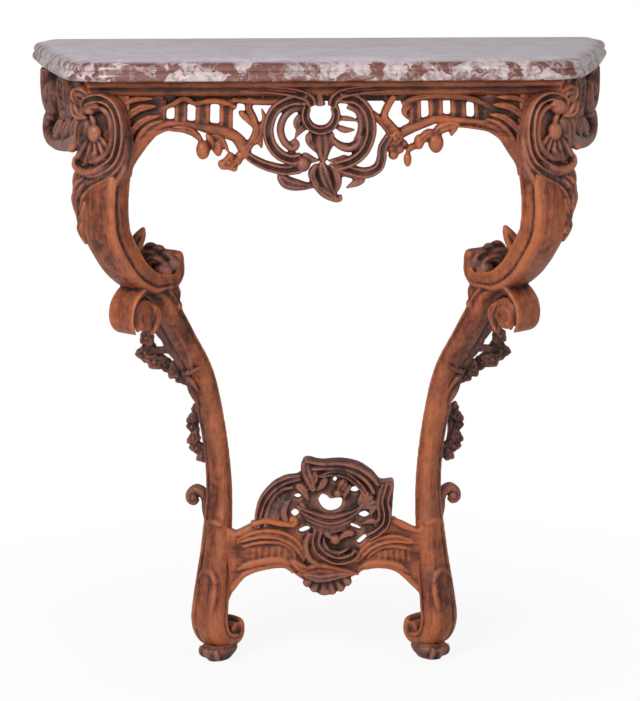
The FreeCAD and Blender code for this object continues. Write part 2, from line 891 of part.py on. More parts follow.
# Leaf tip under the ornament
pendant_top = RAIL_UNDERSIDE - CARTOUCHE_DROP + PENDANT_LAP
pendant_tip = RAIL_UNDERSIDE - CARTOUCHE_DROP - PENDANT_DROP
pendant_shoulder = (RAIL_UNDERSIDE - CARTOUCHE_DROP) - PENDANT_SHOULDER_SHARE * PENDANT_DROP
pendant_half = PENDANT_WIDTH / 2
pendant_corners = (
    Vector(-pendant_half, FRONT_FACE, pendant_top),
    Vector(-pendant_half * PENDANT_SHOULDER_SHARE, FRONT_FACE, pendant_shoulder),
    Vector(PENDANT_LEAN, FRONT_FACE, pendant_tip),
    Vector(pendant_half * PENDANT_SHOULDER_SHARE, FRONT_FACE, pendant_shoulder),
    Vector(pendant_half, FRONT_FACE, pendant_top),
)
pendant_edges = [
    curve_through(pendant_corners[:3]),
    curve_through(pendant_corners[2:]),
    Part.makeLine(pendant_corners[-1], pendant_corners[0]),
]
pendant = plate(pendant_edges, PENDANT_THICKNESS)
parts["apron_pendant"] = seated(pendant, parts["apron_cartouche"], Vector(0, 0, -1))


# Leaf and bud drops under the arches
def build_spray():
    """Lobes hanging in a row from the lower edge of the right panel."""
    lobes = []
    edge = curve_through([apron_edge_point(run, rise) for run, rise in APRON_EDGE_SHARES])
    for index, (size, reach) in enumerate(SPRAY_SHARES):
        lobe_x = CARTOUCHE_EDGE + SPRAY_START + index * SPRAY_SPACING
        upright = Part.makeLine(
            Vector(lobe_x, APRON_FRONT, RAIL_UNDERSIDE - APRON_DROP - OVERRUN),
            Vector(lobe_x, APRON_FRONT, RAIL_UNDERSIDE),
        )
        root = edge.distToShape(upright)[1][0][0]
        tip = root - ALONG_Z * (reach * SPRAY_REACH)
        radius = size * SPRAY_LOBE
        run_back = ALONG_Y * SPRAY_THICKNESS
        lobes.append(rod(radius, tip, tip + run_back))
        lobes.append(box(root - Vector(radius, 0, root.z - tip.z), root + run_back + Vector(radius, 0, 0)))
    return join(lobes)


pair("apron_spray", seated(build_spray(), bare_apron, Vector(0, 0, -1)))

# Dowels between the apron pieces, the front rail and the posts
apron_middle_y = (APRON_FRONT + APRON_BACK) / 2
apron_pins = []
for share in APRON_DOWEL_SHARES:
    rail_pin, rail_hole = pin(
        Vector(CARTOUCHE_EDGE + share * apron_run, apron_middle_y, RAIL_UNDERSIDE),
        ALONG_Z,
        DOWEL_RADIUS,
        DOWEL_HALF,
    )
    cut_pair("apron", rail_hole)
    parts["front_rail"] = parts["front_rail"].cut(rail_hole).cut(mirrored(rail_hole))
    apron_pins.append(rail_pin)
post_pin, post_hole = pin(
    Vector(POST_INNER, apron_middle_y, RAIL_UNDERSIDE - POST_DOWEL_DROP),
    ALONG_X,
    DOWEL_RADIUS,
    DOWEL_HALF,
)
cut_pair("apron", post_hole)
cut_pair("leg", post_hole)
apron_pins.append(post_pin)
crown_pin, crown_hole = pin(
    Vector(CARTOUCHE_EDGE * CROWN_DOWEL_SHARE, apron_middle_y, RAIL_UNDERSIDE),
    ALONG_Z,
    DOWEL_RADIUS,
    DOWEL_HALF,
)
for name in ("front_rail", "apron_cartouche"):
    parts[name] = parts[name].cut(crown_hole).cut(mirrored(crown_hole))
apron_pins.append(crown_pin)
twin_pins = [mirrored(solid) for solid in apron_pins]
parts["apron_dowels"] = Part.makeCompound(apron_pins + twin_pins)


# Shell and C-scroll on the corner of the post
def build_shell():
    """Domed shell with a scroll round its inner side, turned to face outward."""
    centre = Vector(POST_X + SHELL_SHIFT, POST_FRONT, FRAME_TOP - SHELL_DROP)
    dome = ellipsoid(centre, SHELL_WIDTH / 2, SHELL_BULGE, SHELL_HEIGHT / 2)
    radius = (SHELL_WIDTH - SHELL_RIM) / 2
    rim = scroll(centre, radius, SHELL_RIM, SHELL_ANGLES, -SHELL_RIM_DEPTH)
    return turned(join([dome, rim]), SHELL_YAW, centre)


pair("corner_shell", seated(build_shell(), bare_leg, facing(SHELL_YAW)))

# Leaf down the outer edge of the knee
outward = across_leg()


def build_knee_leaf():
    """Pointed leaf that stands out from the edge of the band."""
    root = station(KNEE_SHARES[LEAF_STATION])[0] + outward * LEAF_STAND_OFF
    base = root - Vector(0, LEAF_THICKNESS / 2, 0)
    tips = (base + ALONG_Z * LEAF_HALF_LENGTH, base - ALONG_Z * LEAF_HALF_LENGTH)
    edges = []
    for side in (-1, 1):
        middle = base + ALONG_X * (side * LEAF_HALF_WIDTH)
        edges.append(Part.Arc(tips[0], middle, tips[1]).toShape())
    return turned(plate(edges, LEAF_THICKNESS), LEG_YAW, root)


pair("knee_leaf", seated(build_knee_leaf(), bare_leg, outward))

# Rolled leaf in the hollow of the inward scroll
bud_place = leg_point(BUD_OUT_SHARE, BUD_RISE_SHARE)
bud_half = outward * (BUD_LENGTH / 2)
knee_bud = rod(BUD_RADIUS, bud_place - bud_half, bud_place + bud_half)
pair("knee_bud", seated(knee_bud, bare_leg, ALONG_Z + facing(LEG_YAW)))


# Carved scroll on the outer face of a side rail
def build_side_drop():
    """Board on the outer face of the right side rail."""
    top = FRAME_TOP - DROP_TOP_GAP
    face = RAIL_THICKNESS / 2

    def at(run, rise):
        distance = side_length - DROP_END_GAP - run * DROP_LENGTH
        return Vector(face, distance, top - DROP_HEIGHT + rise * DROP_HEIGHT)

    points = [at(run, rise) for run, rise in DROP_EDGE_SHARES]
    edges = [
        curve_through(points),
        Part.makeLine(points[-1], points[0]),
    ]
    board = Part.Face(Part.Wire(edges)).extrude(ALONG_X * DROP_THICKNESS)
    board.rotate(Vector(0, 0, 0), ALONG_Z, side_splay)
    board.translate(side_start)
    return board


pair("side_drop", build_side_drop())


# Carving on the lower leg
def flower_chain(places, radius, depth, stand_off):
    """Row of round flower heads that stand off from the line of the right leg."""
    heads = []
    half = facing(SHELL_YAW) * (depth / 2)
    for rise, share in places:
        centre = leg_line(rise) + ALONG_X * (share * stand_off)
        heads.append(rod(radius, centre - half, centre + half))
    return join(heads)


garland = flower_chain(SWAG_SHARES, SWAG_FLOWER, SWAG_DEPTH, SWAG_STAND_OFF)
pair("garland", seated(garland, bare_leg, ALONG_X))
bud_step = BUD_CHAIN_SPACING / FRAME_TOP
bud_places = [(BUD_CHAIN_RISE_SHARE - index * bud_step, 1) for index in range(BUD_CHAIN_COUNT)]
bud_chain = flower_chain(bud_places, BUD_CHAIN_RADIUS, BUD_CHAIN_DEPTH, BUD_CHAIN_STAND_OFF)
pair("bellflower_drop", seated(bud_chain, bare_leg, ALONG_X))
curl_centre = leg_line(CURL_RISE_SHARE) + Vector(CURL_STAND_OFF, -CURL_DEPTH / 2, 0)
curl = scroll(curl_centre, CURL_RADIUS, CURL_BAND, CURL_ANGLES, CURL_DEPTH)
pair("leg_curl", seated(curl, bare_leg, ALONG_X))

# Foot pads and their dowels
pad_x = FOOT_REACH - PAD_SHIFT
pad = box(
    Vector(pad_x - PAD_WIDTH / 2, FOOT_Y - PAD_DEPTH / 2, 0),
    Vector(pad_x + PAD_WIDTH / 2, FOOT_Y + PAD_DEPTH / 2, PAD_HEIGHT),
)
pad = pad.makeFillet(PAD_ROUND, [edge for edge in pad.Edges if edge.BoundBox.ZLength > PAD_BEVEL])
pad = pad.makeChamfer(PAD_BEVEL, [edge for edge in pad.Edges if edge.BoundBox.ZMax < PAD_BEVEL])
pair("foot_pad", pad)
foot_pin, foot_hole = pin(Vector(pad_x, FOOT_Y, PAD_HEIGHT), ALONG_Z, DOWEL_RADIUS, DOWEL_HALF)
cut_pair("foot_pad", foot_hole)
cut_pair("leg", foot_hole)
parts["foot_dowels"] = Part.makeCompound([foot_pin, mirrored(foot_pin)])

# Stretcher, cut to the inner faces of the legs
stretcher_front = FOOT_Y - STRETCHER_THICKNESS / 2
stretcher_rise = STRETCHER_TOP - STRETCHER_LOW


def stretcher_point(run, rise):
    """Point on the front of the stretcher."""
    return Vector(run * STRETCHER_SPAN / 2, stretcher_front, STRETCHER_LOW + rise * stretcher_rise)


def build_stretcher():
    """Bar with two arches under it."""
    right = [stretcher_point(run, rise) for run, rise in STRETCHER_EDGE_SHARES]
    left = [stretcher_point(-run, rise) for run, rise in STRETCHER_EDGE_SHARES]
    corners = [
        right[-1],
        Vector(FOOT_REACH, stretcher_front, STRETCHER_LOW),
        Vector(FOOT_REACH, stretcher_front, STRETCHER_TOP),
        Vector(-FOOT_REACH, stretcher_front, STRETCHER_TOP),
        Vector(-FOOT_REACH, stretcher_front, STRETCHER_LOW),
        left[-1],
    ]
    edges = [Part.makeLine(left[0], right[0]), curve_through(right)]
    for start, end in zip(corners, corners[1:]):
        edges.append(Part.makeLine(start, end))
    left.reverse()
    edges.append(curve_through(left))
    bar = plate(edges, STRETCHER_THICKNESS)
    return bar.cut(bare_leg).cut(mirrored(bare_leg))


def stretcher_tenon(slack):
    """Tenons of the stretcher in one bar, with slack all round."""
    half = Vector(
        STRETCHER_SPAN / 2 + STRETCHER_TENON_LENGTH + slack,
        STRETCHER_TENON_THICKNESS / 2 + slack,
        STRETCHER_TENON_HEIGHT / 2 + slack,
    )
    middle = Vector(0, FOOT_Y, STRETCHER_TENON_RISE)
    return box(middle - half, middle + half)


bar = build_stretcher()
bar = max(bar.Solids, key=volume_of)
parts["stretcher"] = bar.fuse(stretcher_tenon(0)).removeSplitter()
cut_pair("leg", stretcher_tenon(TENON_CLEARANCE))
bar_pin, bar_hole = pin(
    Vector(STRETCHER_SPAN / 2 + STRETCHER_TENON_LENGTH / 2, FOOT_Y, STRETCHER_TENON_RISE),
    ALONG_Y,
    PEG_RADIUS,
    PEG_HALF,
)
bar_pin = bar_pin.common(bare_leg)
parts["stretcher"] = parts["stretcher"].cut(bar_hole).cut(mirrored(bar_hole))
cut_pair("leg", bar_hole)
parts["stretcher_pegs"] = Part.makeCompound([bar_pin, mirrored(bar_pin)])


# Pierced shell on the stretcher
def crest_point(run, rise):
    """Point on the front of the shell."""
    return Vector(run * CREST_WIDTH / 2, stretcher_front, STRETCHER_TOP + rise * CREST_HEIGHT)


def build_crest():
    """Pierced board with scrolls in relief that reach down over the bar."""
    outline = [crest_point(run, rise) for run, rise in CREST_EDGE_SHARES]
    edges = [curve_through(outline), Part.makeLine(outline[-1], outline[0])]
    pieces = [plate(edges, STRETCHER_THICKNESS)]
    for run, rise, radius, angles in CREST_SCROLL_SHARES:
        size = radius * CREST_WIDTH / 2
        pieces.append(scroll(crest_point(run, rise), size, CREST_BAND, angles, -CREST_RELIEF))
    solid = join(pieces)
    for run, rise, radius in CREST_HOLE_SHARES:
        solid = pierce(solid, crest_point(run, rise), radius * CREST_WIDTH / 2)
    return solid


parts["stretcher_crest"] = build_crest()

# Small shell under the stretcher
shell_level = stretcher_point(0, STRETCHER_EDGE_SHARES[0][1]).z
shell_half = BASE_SHELL_WIDTH / 2
shell_left = Vector(-shell_half, stretcher_front, shell_level)
shell_right = Vector(shell_half, stretcher_front, shell_level)
shell_low = Vector(0, stretcher_front, shell_level - BASE_SHELL_DROP)
shell_edges = [
    Part.Arc(shell_left, shell_low, shell_right).toShape(),
    Part.makeLine(shell_right, shell_left),
]
parts["stretcher_pendant"] = plate(shell_edges, STRETCHER_THICKNESS)

# Dowels between the bar and its two shells
crest_pins = []
for run in CREST_DOWEL_SHARES:
    crest_pin, crest_hole = pin(
        Vector(run * CREST_WIDTH / 2, FOOT_Y, STRETCHER_TOP),
        ALONG_Z,
        DOWEL_RADIUS,
        DOWEL_HALF,
    )
    for name in ("stretcher", "stretcher_crest"):
        parts[name] = parts[name].cut(crest_hole)
    crest_pins.append(crest_pin)
base_pin, base_hole = pin(Vector(0, FOOT_Y, shell_level), ALONG_Z, DOWEL_RADIUS, DOWEL_HALF)
for name in ("stretcher", "stretcher_pendant"):
    parts[name] = parts[name].cut(base_hole)
crest_pins.append(base_pin)
parts["crest_dowels"] = Part.makeCompound(crest_pins)

for name, shape in parts.items():
    shape.exportStep(os.path.join("parts", name + ".step"))
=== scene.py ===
import math

import bmesh
import bpy
import numpy as np
from mathutils import Matrix, Vector


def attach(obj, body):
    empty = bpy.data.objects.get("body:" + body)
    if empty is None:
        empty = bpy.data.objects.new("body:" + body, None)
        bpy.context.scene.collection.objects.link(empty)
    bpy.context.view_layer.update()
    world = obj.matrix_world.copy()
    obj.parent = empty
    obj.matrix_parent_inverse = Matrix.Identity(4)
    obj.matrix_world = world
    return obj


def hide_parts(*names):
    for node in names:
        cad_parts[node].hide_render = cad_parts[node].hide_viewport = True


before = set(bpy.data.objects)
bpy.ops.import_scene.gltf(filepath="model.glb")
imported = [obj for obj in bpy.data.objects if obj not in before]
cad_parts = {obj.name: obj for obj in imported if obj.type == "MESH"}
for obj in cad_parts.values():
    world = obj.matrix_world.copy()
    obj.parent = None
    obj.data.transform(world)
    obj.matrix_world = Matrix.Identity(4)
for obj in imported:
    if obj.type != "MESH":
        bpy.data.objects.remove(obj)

bl_info = {
    "name": "Carved pier table",
    "version": (1, 0, 0),
    "blender": (4, 5, 0),
    "location": "View3D > Sidebar > Pier table",
    "description": "Carved scroll legs, a pierced apron and a marble slab on a packed frame",
    "category": "Object",
}

# Lengths below are in millimetres, turned into metres by MM
MM = 0.001

# Right leg: the foot's distance from the middle, and the turns of its plane and of its inner side
FOOT_REACH = 158.0
LEG_YAW = math.atan2(140.0, 155.0)
LEG_TURN = math.degrees(LEG_YAW)
INNER_TURN = LEG_TURN - 90.0
LEG_OUT = np.array([math.sin(LEG_YAW), -math.cos(LEG_YAW), 0])
LEG_ACROSS = np.array([math.cos(LEG_YAW), math.sin(LEG_YAW), 0])

# Planes that the pieces are carved on: a point of each, and its turn from the front in degrees
THORN_PLANE = ((0, -106, 0), 0)
APRON_PLANE = ((0, -151, 0), 0)
CARTOUCHE_PLANE = ((0, -156, 0), 0)
TIP_PLANE = ((0, -154, 0), 0)
SHELL_PLANE = ((297, -162, 0), 28)
SIDE_PLANE = ((305.7, -118.7, 0), 74.6)
GARLAND_PLANE = ((0, -44, 0), 12)
BUD_PLANE = ((0, -18, 0), 15)
CURL_PLANE = ((0, -3, 0), 12)
PAD_PLANE = ((152, 0, 0), LEG_TURN)
BAR_PLANE = ((0, -2, 0), 0)
CREST_PLANE = ((0, -4, 0), 0)

# How far the apron's strokes go in behind their plane
APRON_BACK = 8

# Grain of the fused mesh where it differs from the setting
LEG_VOXEL = 1.65
FINE_VOXEL = 1.2


def both_sides(half):
    """Closed section whose right side mirrors its left one, which ends in the middle."""
    return (*half, *((-x, y) for x, y in reversed(half[:-1])))


# Sections of a stroke: across, from edge to edge, and out from the ground
CHANNEL = both_sides(((-1, -1), (-1, 0.45), (-0.86, 0.82), (-0.62, 1.0), (-0.42, 0.86), (-0.22, 0.62),
                      (0, 0.56)))
ROUND = both_sides(((-1, -1), (-1, 0.1), (-0.85, 0.55), (-0.5, 0.88), (0, 1.0)))
LEAF = both_sides(((-1, -1), (-1, 0.2), (-0.7, 0.7), (-0.4, 0.9), (-0.14, 0.8), (0, 0.45)))

# How a stroke thins: its least half width, and the share of its height that its thinnest end keeps
LEAST_HALF = 0.4
THIN_SHARE = 0.35
TINY = 1e-6

# How a curl winds: its turn in degrees, its points, and what its eye keeps of radius, width and height
CURL_TURN = 300
CURL_POINTS = 14
EYE_RADIUS_SHARE = 0.3
EYE_WIDTH_SHARE = 0.55
EYE_BEAD_SHARE = 0.5
EYE_HEIGHT_SHARE = 0.8

# How a leaf swells: powers for where it is widest and how full it is, and its ends' share of the width
LEAF_BELLY = 0.75
LEAF_FULLNESS = 0.7
LEAF_END_SHARE = 0.06

# How lobes sit on a leaf, in shares of their own size, of the rib's length or of the rib's height
LOBES = 4
LOBE_START_SHARE = 0.4
LOBE_SPARE_SHARE = 0.3
LOBE_ROOT_SHARE = 1.25
LOBE_SHRINK_SHARE = 0.7
LOBE_LEAN_SHARE = 0.75
LOBE_SWEEP_SHARE = 0.25
LOBE_BEND_SHARE = 0.55
LOBE_HALF_SHARE = 0.42
LOBE_HEIGHT_SHARE = 0.8
RIB_HALF_SHARE = 0.5

# A flute after its root, in shares of its reach and of its half width
FLUTE_SHARES = ((0.5, 0.7), (0.85, 1.0), (0.97, 0.8), (1.0, 0.3))
FLUTE_ROOT_SHARE = 0.35

# A flower's petals: how unevenly they reach out, and their shares of the flower's radius
PETALS = 5
PETAL_SWING_SHARE = 0.25
PETAL_RHYTHM = 2.4
PETAL_BEND_SHARE = 0.6
PETAL_HALF_SHARE = 0.52
POLLEN_SHARE = 0.35
POLLEN_HEIGHT_SHARE = 1.2

# Finish of boards and fused pieces
BEAD_DIVISIONS = 3
BOARD_STEPS = 6
BOARD_BEVEL = 1.5
WEAR_GRAIN = 9.0

# Relief of a level place, and the two scales it is taken at: rounds of smoothing, and the full height
LEVEL_RELIEF = 0.5
RELIEF_SCALES = ((10, 2.2), (60, 7.0))


def smooth_line(points, steps=8):
    """Rows on a smooth line through a few rows of any number of columns."""
    rows = np.asarray(points, float)
    ends = np.vstack([2 * rows[0] - rows[1], rows, 2 * rows[-1] - rows[-2]])
    share = np.linspace(0, 1, steps, endpoint=False)[:, None]
    pieces = []
    for index in range(len(rows) - 1):
        a, b, c, d = ends[index:index + 4]
        curve = 2 * b + (c - a) * share + (2 * a - 5 * b + 4 * c - d) * share ** 2
        curve = curve + (3 * b - a - 3 * c + d) * share ** 3
        pieces.append(curve / 2)
    pieces.append(rows[-1:])
    return np.vstack(pieces)


def spiral(centre, radii, angles, count):
    """Rows on a spiral from the first radius and angle to the last."""
    turn = np.radians(np.linspace(angles[0], angles[1], count))
    radius = np.linspace(radii[0], radii[1], count)
    return np.column_stack([centre[0] + radius * np.cos(turn), centre[1] + radius * np.sin(turn)])


def leg_point(run, rise):
    """Point in the plane of the right leg: run outward from the foot, and rise from the floor."""
    return np.array([FOOT_REACH, 0, rise]) + run * LEG_OUT


class Carving:
    """Strokes laid on one plane and fused into a piece, as a carver raises them from a board."""

    def __init__(self, origin=(0, 0, 0), yaw=0.0):
        turn = math.radians(yaw)
        self.origin = np.array(origin, float)
        self.right = np.array([math.cos(turn), math.sin(turn), 0])
        self.up = np.array([0.0, 0.0, 1.0])
        self.out = np.array([math.sin(turn), -math.cos(turn), 0])
        self.clay = bmesh.new()
        self.boards = []

    def on_plane(self, origin, yaw):
        """Another plane whose strokes go into the same piece."""
        other = Carving(origin, yaw)
        other.clay.free()
        other.clay = self.clay
        other.boards = self.boards
        return other

    def at(self, across, rise, lift=0.0):
        """Place in the room of a point on the plane."""
        return self.origin + across * self.right + rise * self.up + lift * self.out

    def axes(self):
        """Turn from the room's axes to those of the plane."""
        return Matrix((self.right, self.up, self.out)).transposed()

    def rings(self, rings):
        """Skin over a row of closed rings of places, capped at both ends."""
        loops = []
        for ring in rings:
            loops.append([self.clay.verts.new(Vector(place) * MM) for place in ring])
        for first, second in zip(loops, loops[1:]):
            for index in range(len(first)):
                after = (index + 1) % len(first)
                self.clay.faces.new((first[index], first[after], second[after], second[index]))
        self.clay.faces.new(list(reversed(loops[0])))
        self.clay.faces.new(loops[-1])

    def stroke(self, points, section, height, back=3.0, lift=0.0, steps=8):
        """Band along points of across, rise, half width and, where it follows a curved ground, lift."""
        line = smooth_line(points, steps)
        if line.shape[1] == 3:
            line = np.column_stack([line, np.zeros(len(line))])
        run = np.gradient(line[:, :2], axis=0)
        run /= np.maximum(np.linalg.norm(run, axis=1), TINY)[:, None]
        widest = line[:, 2].max()
        rings = []
        for (across, rise, half, ground), (du, dv) in zip(line, run):
            half = max(half, LEAST_HALF)
            tall = height * min(1.0, THIN_SHARE + (1 - THIN_SHARE) * half / widest)
            ring = []
            for x, y in section:
                level = lift + ground + (y * tall if y > 0 else y * back)
                ring.append(self.at(across - dv * x * half, rise + du * x * half, level))
            rings.append(ring)
        self.rings(rings)

    def scroll(self, points, half, section, height, curls=(0, 0), curl=0.0, lift=0.0):
        """Band of one width, with a curl to the left (1) or the right (-1) at either end."""
        line = [(u, v, half) for u, v in points]
        for end, side in enumerate(curls):
            if not side:
                continue
            row = smooth_line([p[:2] for p in line], steps=6)
            tip, before = (row[-1], row[-2]) if end else (row[0], row[1])
            along = (tip - before) / np.linalg.norm(tip - before)
            hand = side if end else -side
            normal = np.array([-along[1], along[0]]) * hand
            centre = tip + normal * curl
            start = math.degrees(math.atan2(-normal[1], -normal[0]))
            angles = (start, start + hand * CURL_TURN)
            path = spiral(centre, (curl, curl * EYE_RADIUS_SHARE), angles, CURL_POINTS)[1:]
            widths = np.linspace(half, half * EYE_WIDTH_SHARE, len(path))
            tail = [(u, v, w) for (u, v), w in zip(path, widths)]
            line = line + tail if end else tail[::-1] + line
            self.bead(*centre, curl * EYE_BEAD_SHARE, height * EYE_HEIGHT_SHARE, lift)
        self.stroke(line, section, height, lift=lift, steps=4)

    def leaf(self, points, half, height, lift=0.0):
        """Leaf along points, widest past its root and pointed at its tip."""
        line = smooth_line(points, steps=6)
        share = np.linspace(0, 1, len(line))
        swell = np.clip(np.sin(math.pi * share ** LEAF_BELLY), LEAF_END_SHARE, 1)
        rows = np.column_stack([line[:, :2], half * swell ** LEAF_FULLNESS, line[:, 2:]])
        self.stroke(rows, LEAF, height, lift=lift, steps=1)

    def foliage(self, points, half, height, lift=0.0):
        """Leaf with side lobes, as on carved acanthus."""
        line = smooth_line(points, steps=12)
        run = np.gradient(line, axis=0)
        run /= np.linalg.norm(run, axis=1)[:, None]
        for lobe in range(LOBES):
            share = (lobe + LOBE_START_SHARE) / (LOBES + LOBE_SPARE_SHARE)
            index = int(share * (len(line) - 1))
            root = line[index]
            size = half * (LOBE_ROOT_SHARE - LOBE_SHRINK_SHARE * share)
            for side in (-1, 1):
                du, dv = run[index]
                reach = np.array([du * LOBE_LEAN_SHARE - dv * side,
                                  dv * LOBE_LEAN_SHARE + du * side]) * size
                tip = root + reach + run[index] * size * LOBE_SWEEP_SHARE
                bend = root + reach * LOBE_BEND_SHARE
                self.leaf([root, bend, tip], size * LOBE_HALF_SHARE, height * LOBE_HEIGHT_SHARE, lift)
        self.leaf(points, half * RIB_HALF_SHARE, height, lift)

    def bead(self, across, rise, radius, height=None, lift=0.0, tall=1.0):
        """Round boss on the plane."""
        height = radius if height is None else height
        scale = Matrix.Diagonal((radius * MM, radius * tall * MM, height * MM))
        matrix = Matrix.Translation(Vector(self.at(across, rise,
                                                   lift)) * MM) @ (self.axes() @ scale).to_4x4()
        bmesh.ops.create_icosphere(self.clay, subdivisions=BEAD_DIVISIONS, radius=1.0, matrix=matrix)

    def fan(self, centre, angles, reach, count, half, height, lift, start):
        """Flutes spread from a point, as on a shell, that start at a share of their reach."""
        for turn in np.radians(np.linspace(*angles, count)):
            aim = np.array([math.cos(turn), math.sin(turn)])
            rows = []
            for part, width in ((start, FLUTE_ROOT_SHARE), *FLUTE_SHARES):
                place = np.array(centre) + aim * reach * part
                rows.append((*place, half * width))
            self.stroke(rows, ROUND, height, lift=lift, steps=3)

    def flower(self, across, rise, radius, height, lift=0.0, turn=0.0):
        """Open flower with uneven petals and a round middle."""
        middle = np.array([across, rise])
        for petal in range(PETALS):
            angle = math.radians(turn + 360.0 * petal / PETALS)
            reach = radius * (1.0 + PETAL_SWING_SHARE * math.sin(PETAL_RHYTHM * petal + turn))
            aim = np.array([math.cos(angle), math.sin(angle)]) * reach
            points = [middle, middle + aim * PETAL_BEND_SHARE, middle + aim]
            self.leaf(points, radius * PETAL_HALF_SHARE, height, lift)
        self.bead(across, rise, radius * POLLEN_SHARE, height * POLLEN_HEIGHT_SHARE, lift)

    def board(self, outline, depth, front, holes=()):
        """Board with a smooth outline and smooth holes, its front at a level of the plane."""
        curve = bpy.data.curves.new("board", "CURVE")
        curve.dimensions = "2D"
        curve.fill_mode = "BOTH"
        curve.extrude = (depth / 2 - BOARD_BEVEL) * MM
        curve.bevel_depth = BOARD_BEVEL * MM
        curve.offset = -BOARD_BEVEL * MM
        for points in (outline, *holes):
            closed = smooth_line([*points, points[0]], BOARD_STEPS)[:-1]
            spline = curve.splines.new("POLY")
            spline.points.add(len(closed) - 1)
            for point, (u, v) in zip(spline.points, closed):
                point.co = (u * MM, v * MM, 0, 1)
            spline.use_cyclic_u = True
        item = bpy.data.objects.new("board", curve)
        bpy.context.collection.objects.link(item)
        middle = Vector(self.at(0, 0, front - depth / 2)) * MM
        item.matrix_world = Matrix.Translation(middle) @ self.axes().to_4x4()
        self.boards.append(item)

    def raw_piece(self, name):
        """Object with the strokes as they were laid."""
        mesh = bpy.data.meshes.new(name)
        bmesh.ops.recalc_face_normals(self.clay, faces=self.clay.faces)
        self.clay.to_mesh(mesh)
        self.clay.free()
        item = bpy.data.objects.new(name, mesh)
        bpy.context.collection.objects.link(item)
        return item

    def piece(self, name, left=False, voxel=None, soften=4, rough=0.35, shade_and_highlight_spots=()):
        """Fuse the strokes and boards into one mesh at the origin, mirrored for the left side."""
        item = self.raw_piece(name)
        choose(item, *self.boards)
        if self.boards:
            bpy.ops.object.convert(target="MESH")
            bpy.ops.object.join()
        if left:
            mirror_mesh(item.data)
            shade_and_highlight_spots = [((-place[0], *place[1:]), reach, gain) for place, reach, gain in shade_and_highlight_spots]
        size = voxel * MM if voxel else bpy.context.scene.pier_table.detail
        apply_modifier(item, "REMESH", mode="VOXEL", voxel_size=size, adaptivity=0.0)
        apply_modifier(item, "SMOOTH", factor=0.5, iterations=soften)
        clouds = bpy.data.textures.new(name, "CLOUDS")
        clouds.noise_scale = WEAR_GRAIN * MM
        apply_modifier(item, "DISPLACE", texture=clouds, texture_coords="LOCAL", strength=rough * 2 * MM)
        mark_relief_and_light(item.data, shade_and_highlight_spots)
        choose(item)
        bpy.ops.object.shade_smooth()
        return item


def choose(active, *others):
    """Select only these objects and make the first one active."""
    bpy.ops.object.select_all(action="DESELECT")
    for item in (active, *others):
        item.select_set(True)
    bpy.context.view_layer.objects.active = active


def apply_modifier(item, kind, **values):
    """Add a modifier to an object and apply it."""
    choose(item)
    bpy.ops.object.modifier_add(type=kind)
    modifier = item.modifiers[-1]
    for name, value in values.items():
        setattr(modifier, name, value)
    bpy.ops.object.modifier_apply(modifier=modifier.name)


def mirror_mesh(mesh):
    """Turn a right-hand mesh into its left-hand twin."""
    mesh.transform(Matrix.Scale(-1, 4, (1, 0, 0)))
    mesh.flip_normals()


def mark_relief_and_light(mesh, shade_and_highlight_spots):
    """Store how far each point stands out from its surroundings: LEVEL_RELIEF is level, less is a hollow.

    A spot of place, reach and gain paints light on the wood round it, and paints shade where its gain is
    below zero.
    """
    count = len(mesh.vertices)
    places = np.empty(count * 3)
    mesh.vertices.foreach_get("co", places)
    places = places.reshape(-1, 3)
    normals = np.empty(count * 3)
    mesh.vertex_normals.foreach_get("vector", normals)
    normals = normals.reshape(-1, 3)
    ends = np.empty(len(mesh.edges) * 2, int)
    mesh.edges.foreach_get("vertices", ends)
    first, second = ends.reshape(-1, 2).T
    links = np.maximum(np.bincount(ends, minlength=count), 1)
    level = places.copy()
    relief_and_light = np.full(count, LEVEL_RELIEF)
    for rounds, height in RELIEF_SCALES:
        for _ in range(rounds):
            mean = np.empty_like(level)
            for axis in range(3):
                column = level[:, axis]
                total = np.bincount(first, column[second], count) + np.bincount(second, column[first],
                                                                                count)
                mean[:, axis] = total / links
            level = mean
        stand = np.einsum("ij,ij->i", places - level, normals) / MM
        relief_and_light += np.clip(stand / height, -0.5, 0.5) / len(RELIEF_SCALES)
    # Painted light and painted shade: spots that lighten or darken the wood round a point
    for place, reach, gain in shade_and_highlight_spots:
        far = np.linalg.norm(places / MM - np.array(place), axis=1) / reach
        relief_and_light += gain * np.exp(-far ** 2)
    layer = mesh.attributes.new("relief_and_light", "FLOAT", "POINT")
    layer.data.foreach_set("value", np.clip(relief_and_light, 0, 1).astype(np.float32))


def finish_piece(item, material, nodes, body="frame"):
    """Give a piece its material and its place in the frame."""
    if not item.data.polygons:
        raise RuntimeError(item.name + " came out empty")
    item.data.materials.clear()
    item.data.materials.append(bpy.data.materials[material])
    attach(item, body)
    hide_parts(*nodes)


# Materials
WOOD_TONES = ("Dark", "Mid", "Light", "Dust")
MARBLE_TONES = ("Red", "Grey", "White", "Top reflection")
GRAIN_UP = (5.0, 5.0, 0.9)
GRAIN_ALONG = (0.9, 5.0, 5.0)

# Levels in metres between which the slab's edge passes into the painted reflection on its top, a paler
# lilac-grey field
REFLECTION_START = 0.874
REFLECTION_END = 0.877

# Middle of a noise, and how far the marble's lumps are bent, in metres
NOISE_MIDDLE = 0.5
BEND_REACH = 0.030


def socket(group, name, kind, way="INPUT", value=None):
    """Add a socket to the face of a node group."""
    item = group.interface.new_socket(name, in_out=way, socket_type=kind)
    if value is not None:
        item.default_value = value


def feed(tree, item, links):
    """Link the inputs of a node to other nodes, or set their plain values."""
    for target, source in links.items():
        if isinstance(source, bpy.types.NodeSocket):
            tree.links.new(source, item.inputs[target])
        else:
            item.inputs[target].default_value = source


def node(tree, kind, links=(), **values):
    """Add a node with its plain values and its inputs."""
    item = tree.nodes.new(kind)
    for name, value in values.items():
        setattr(item, name, value)
    feed(tree, item, dict(links))
    return item


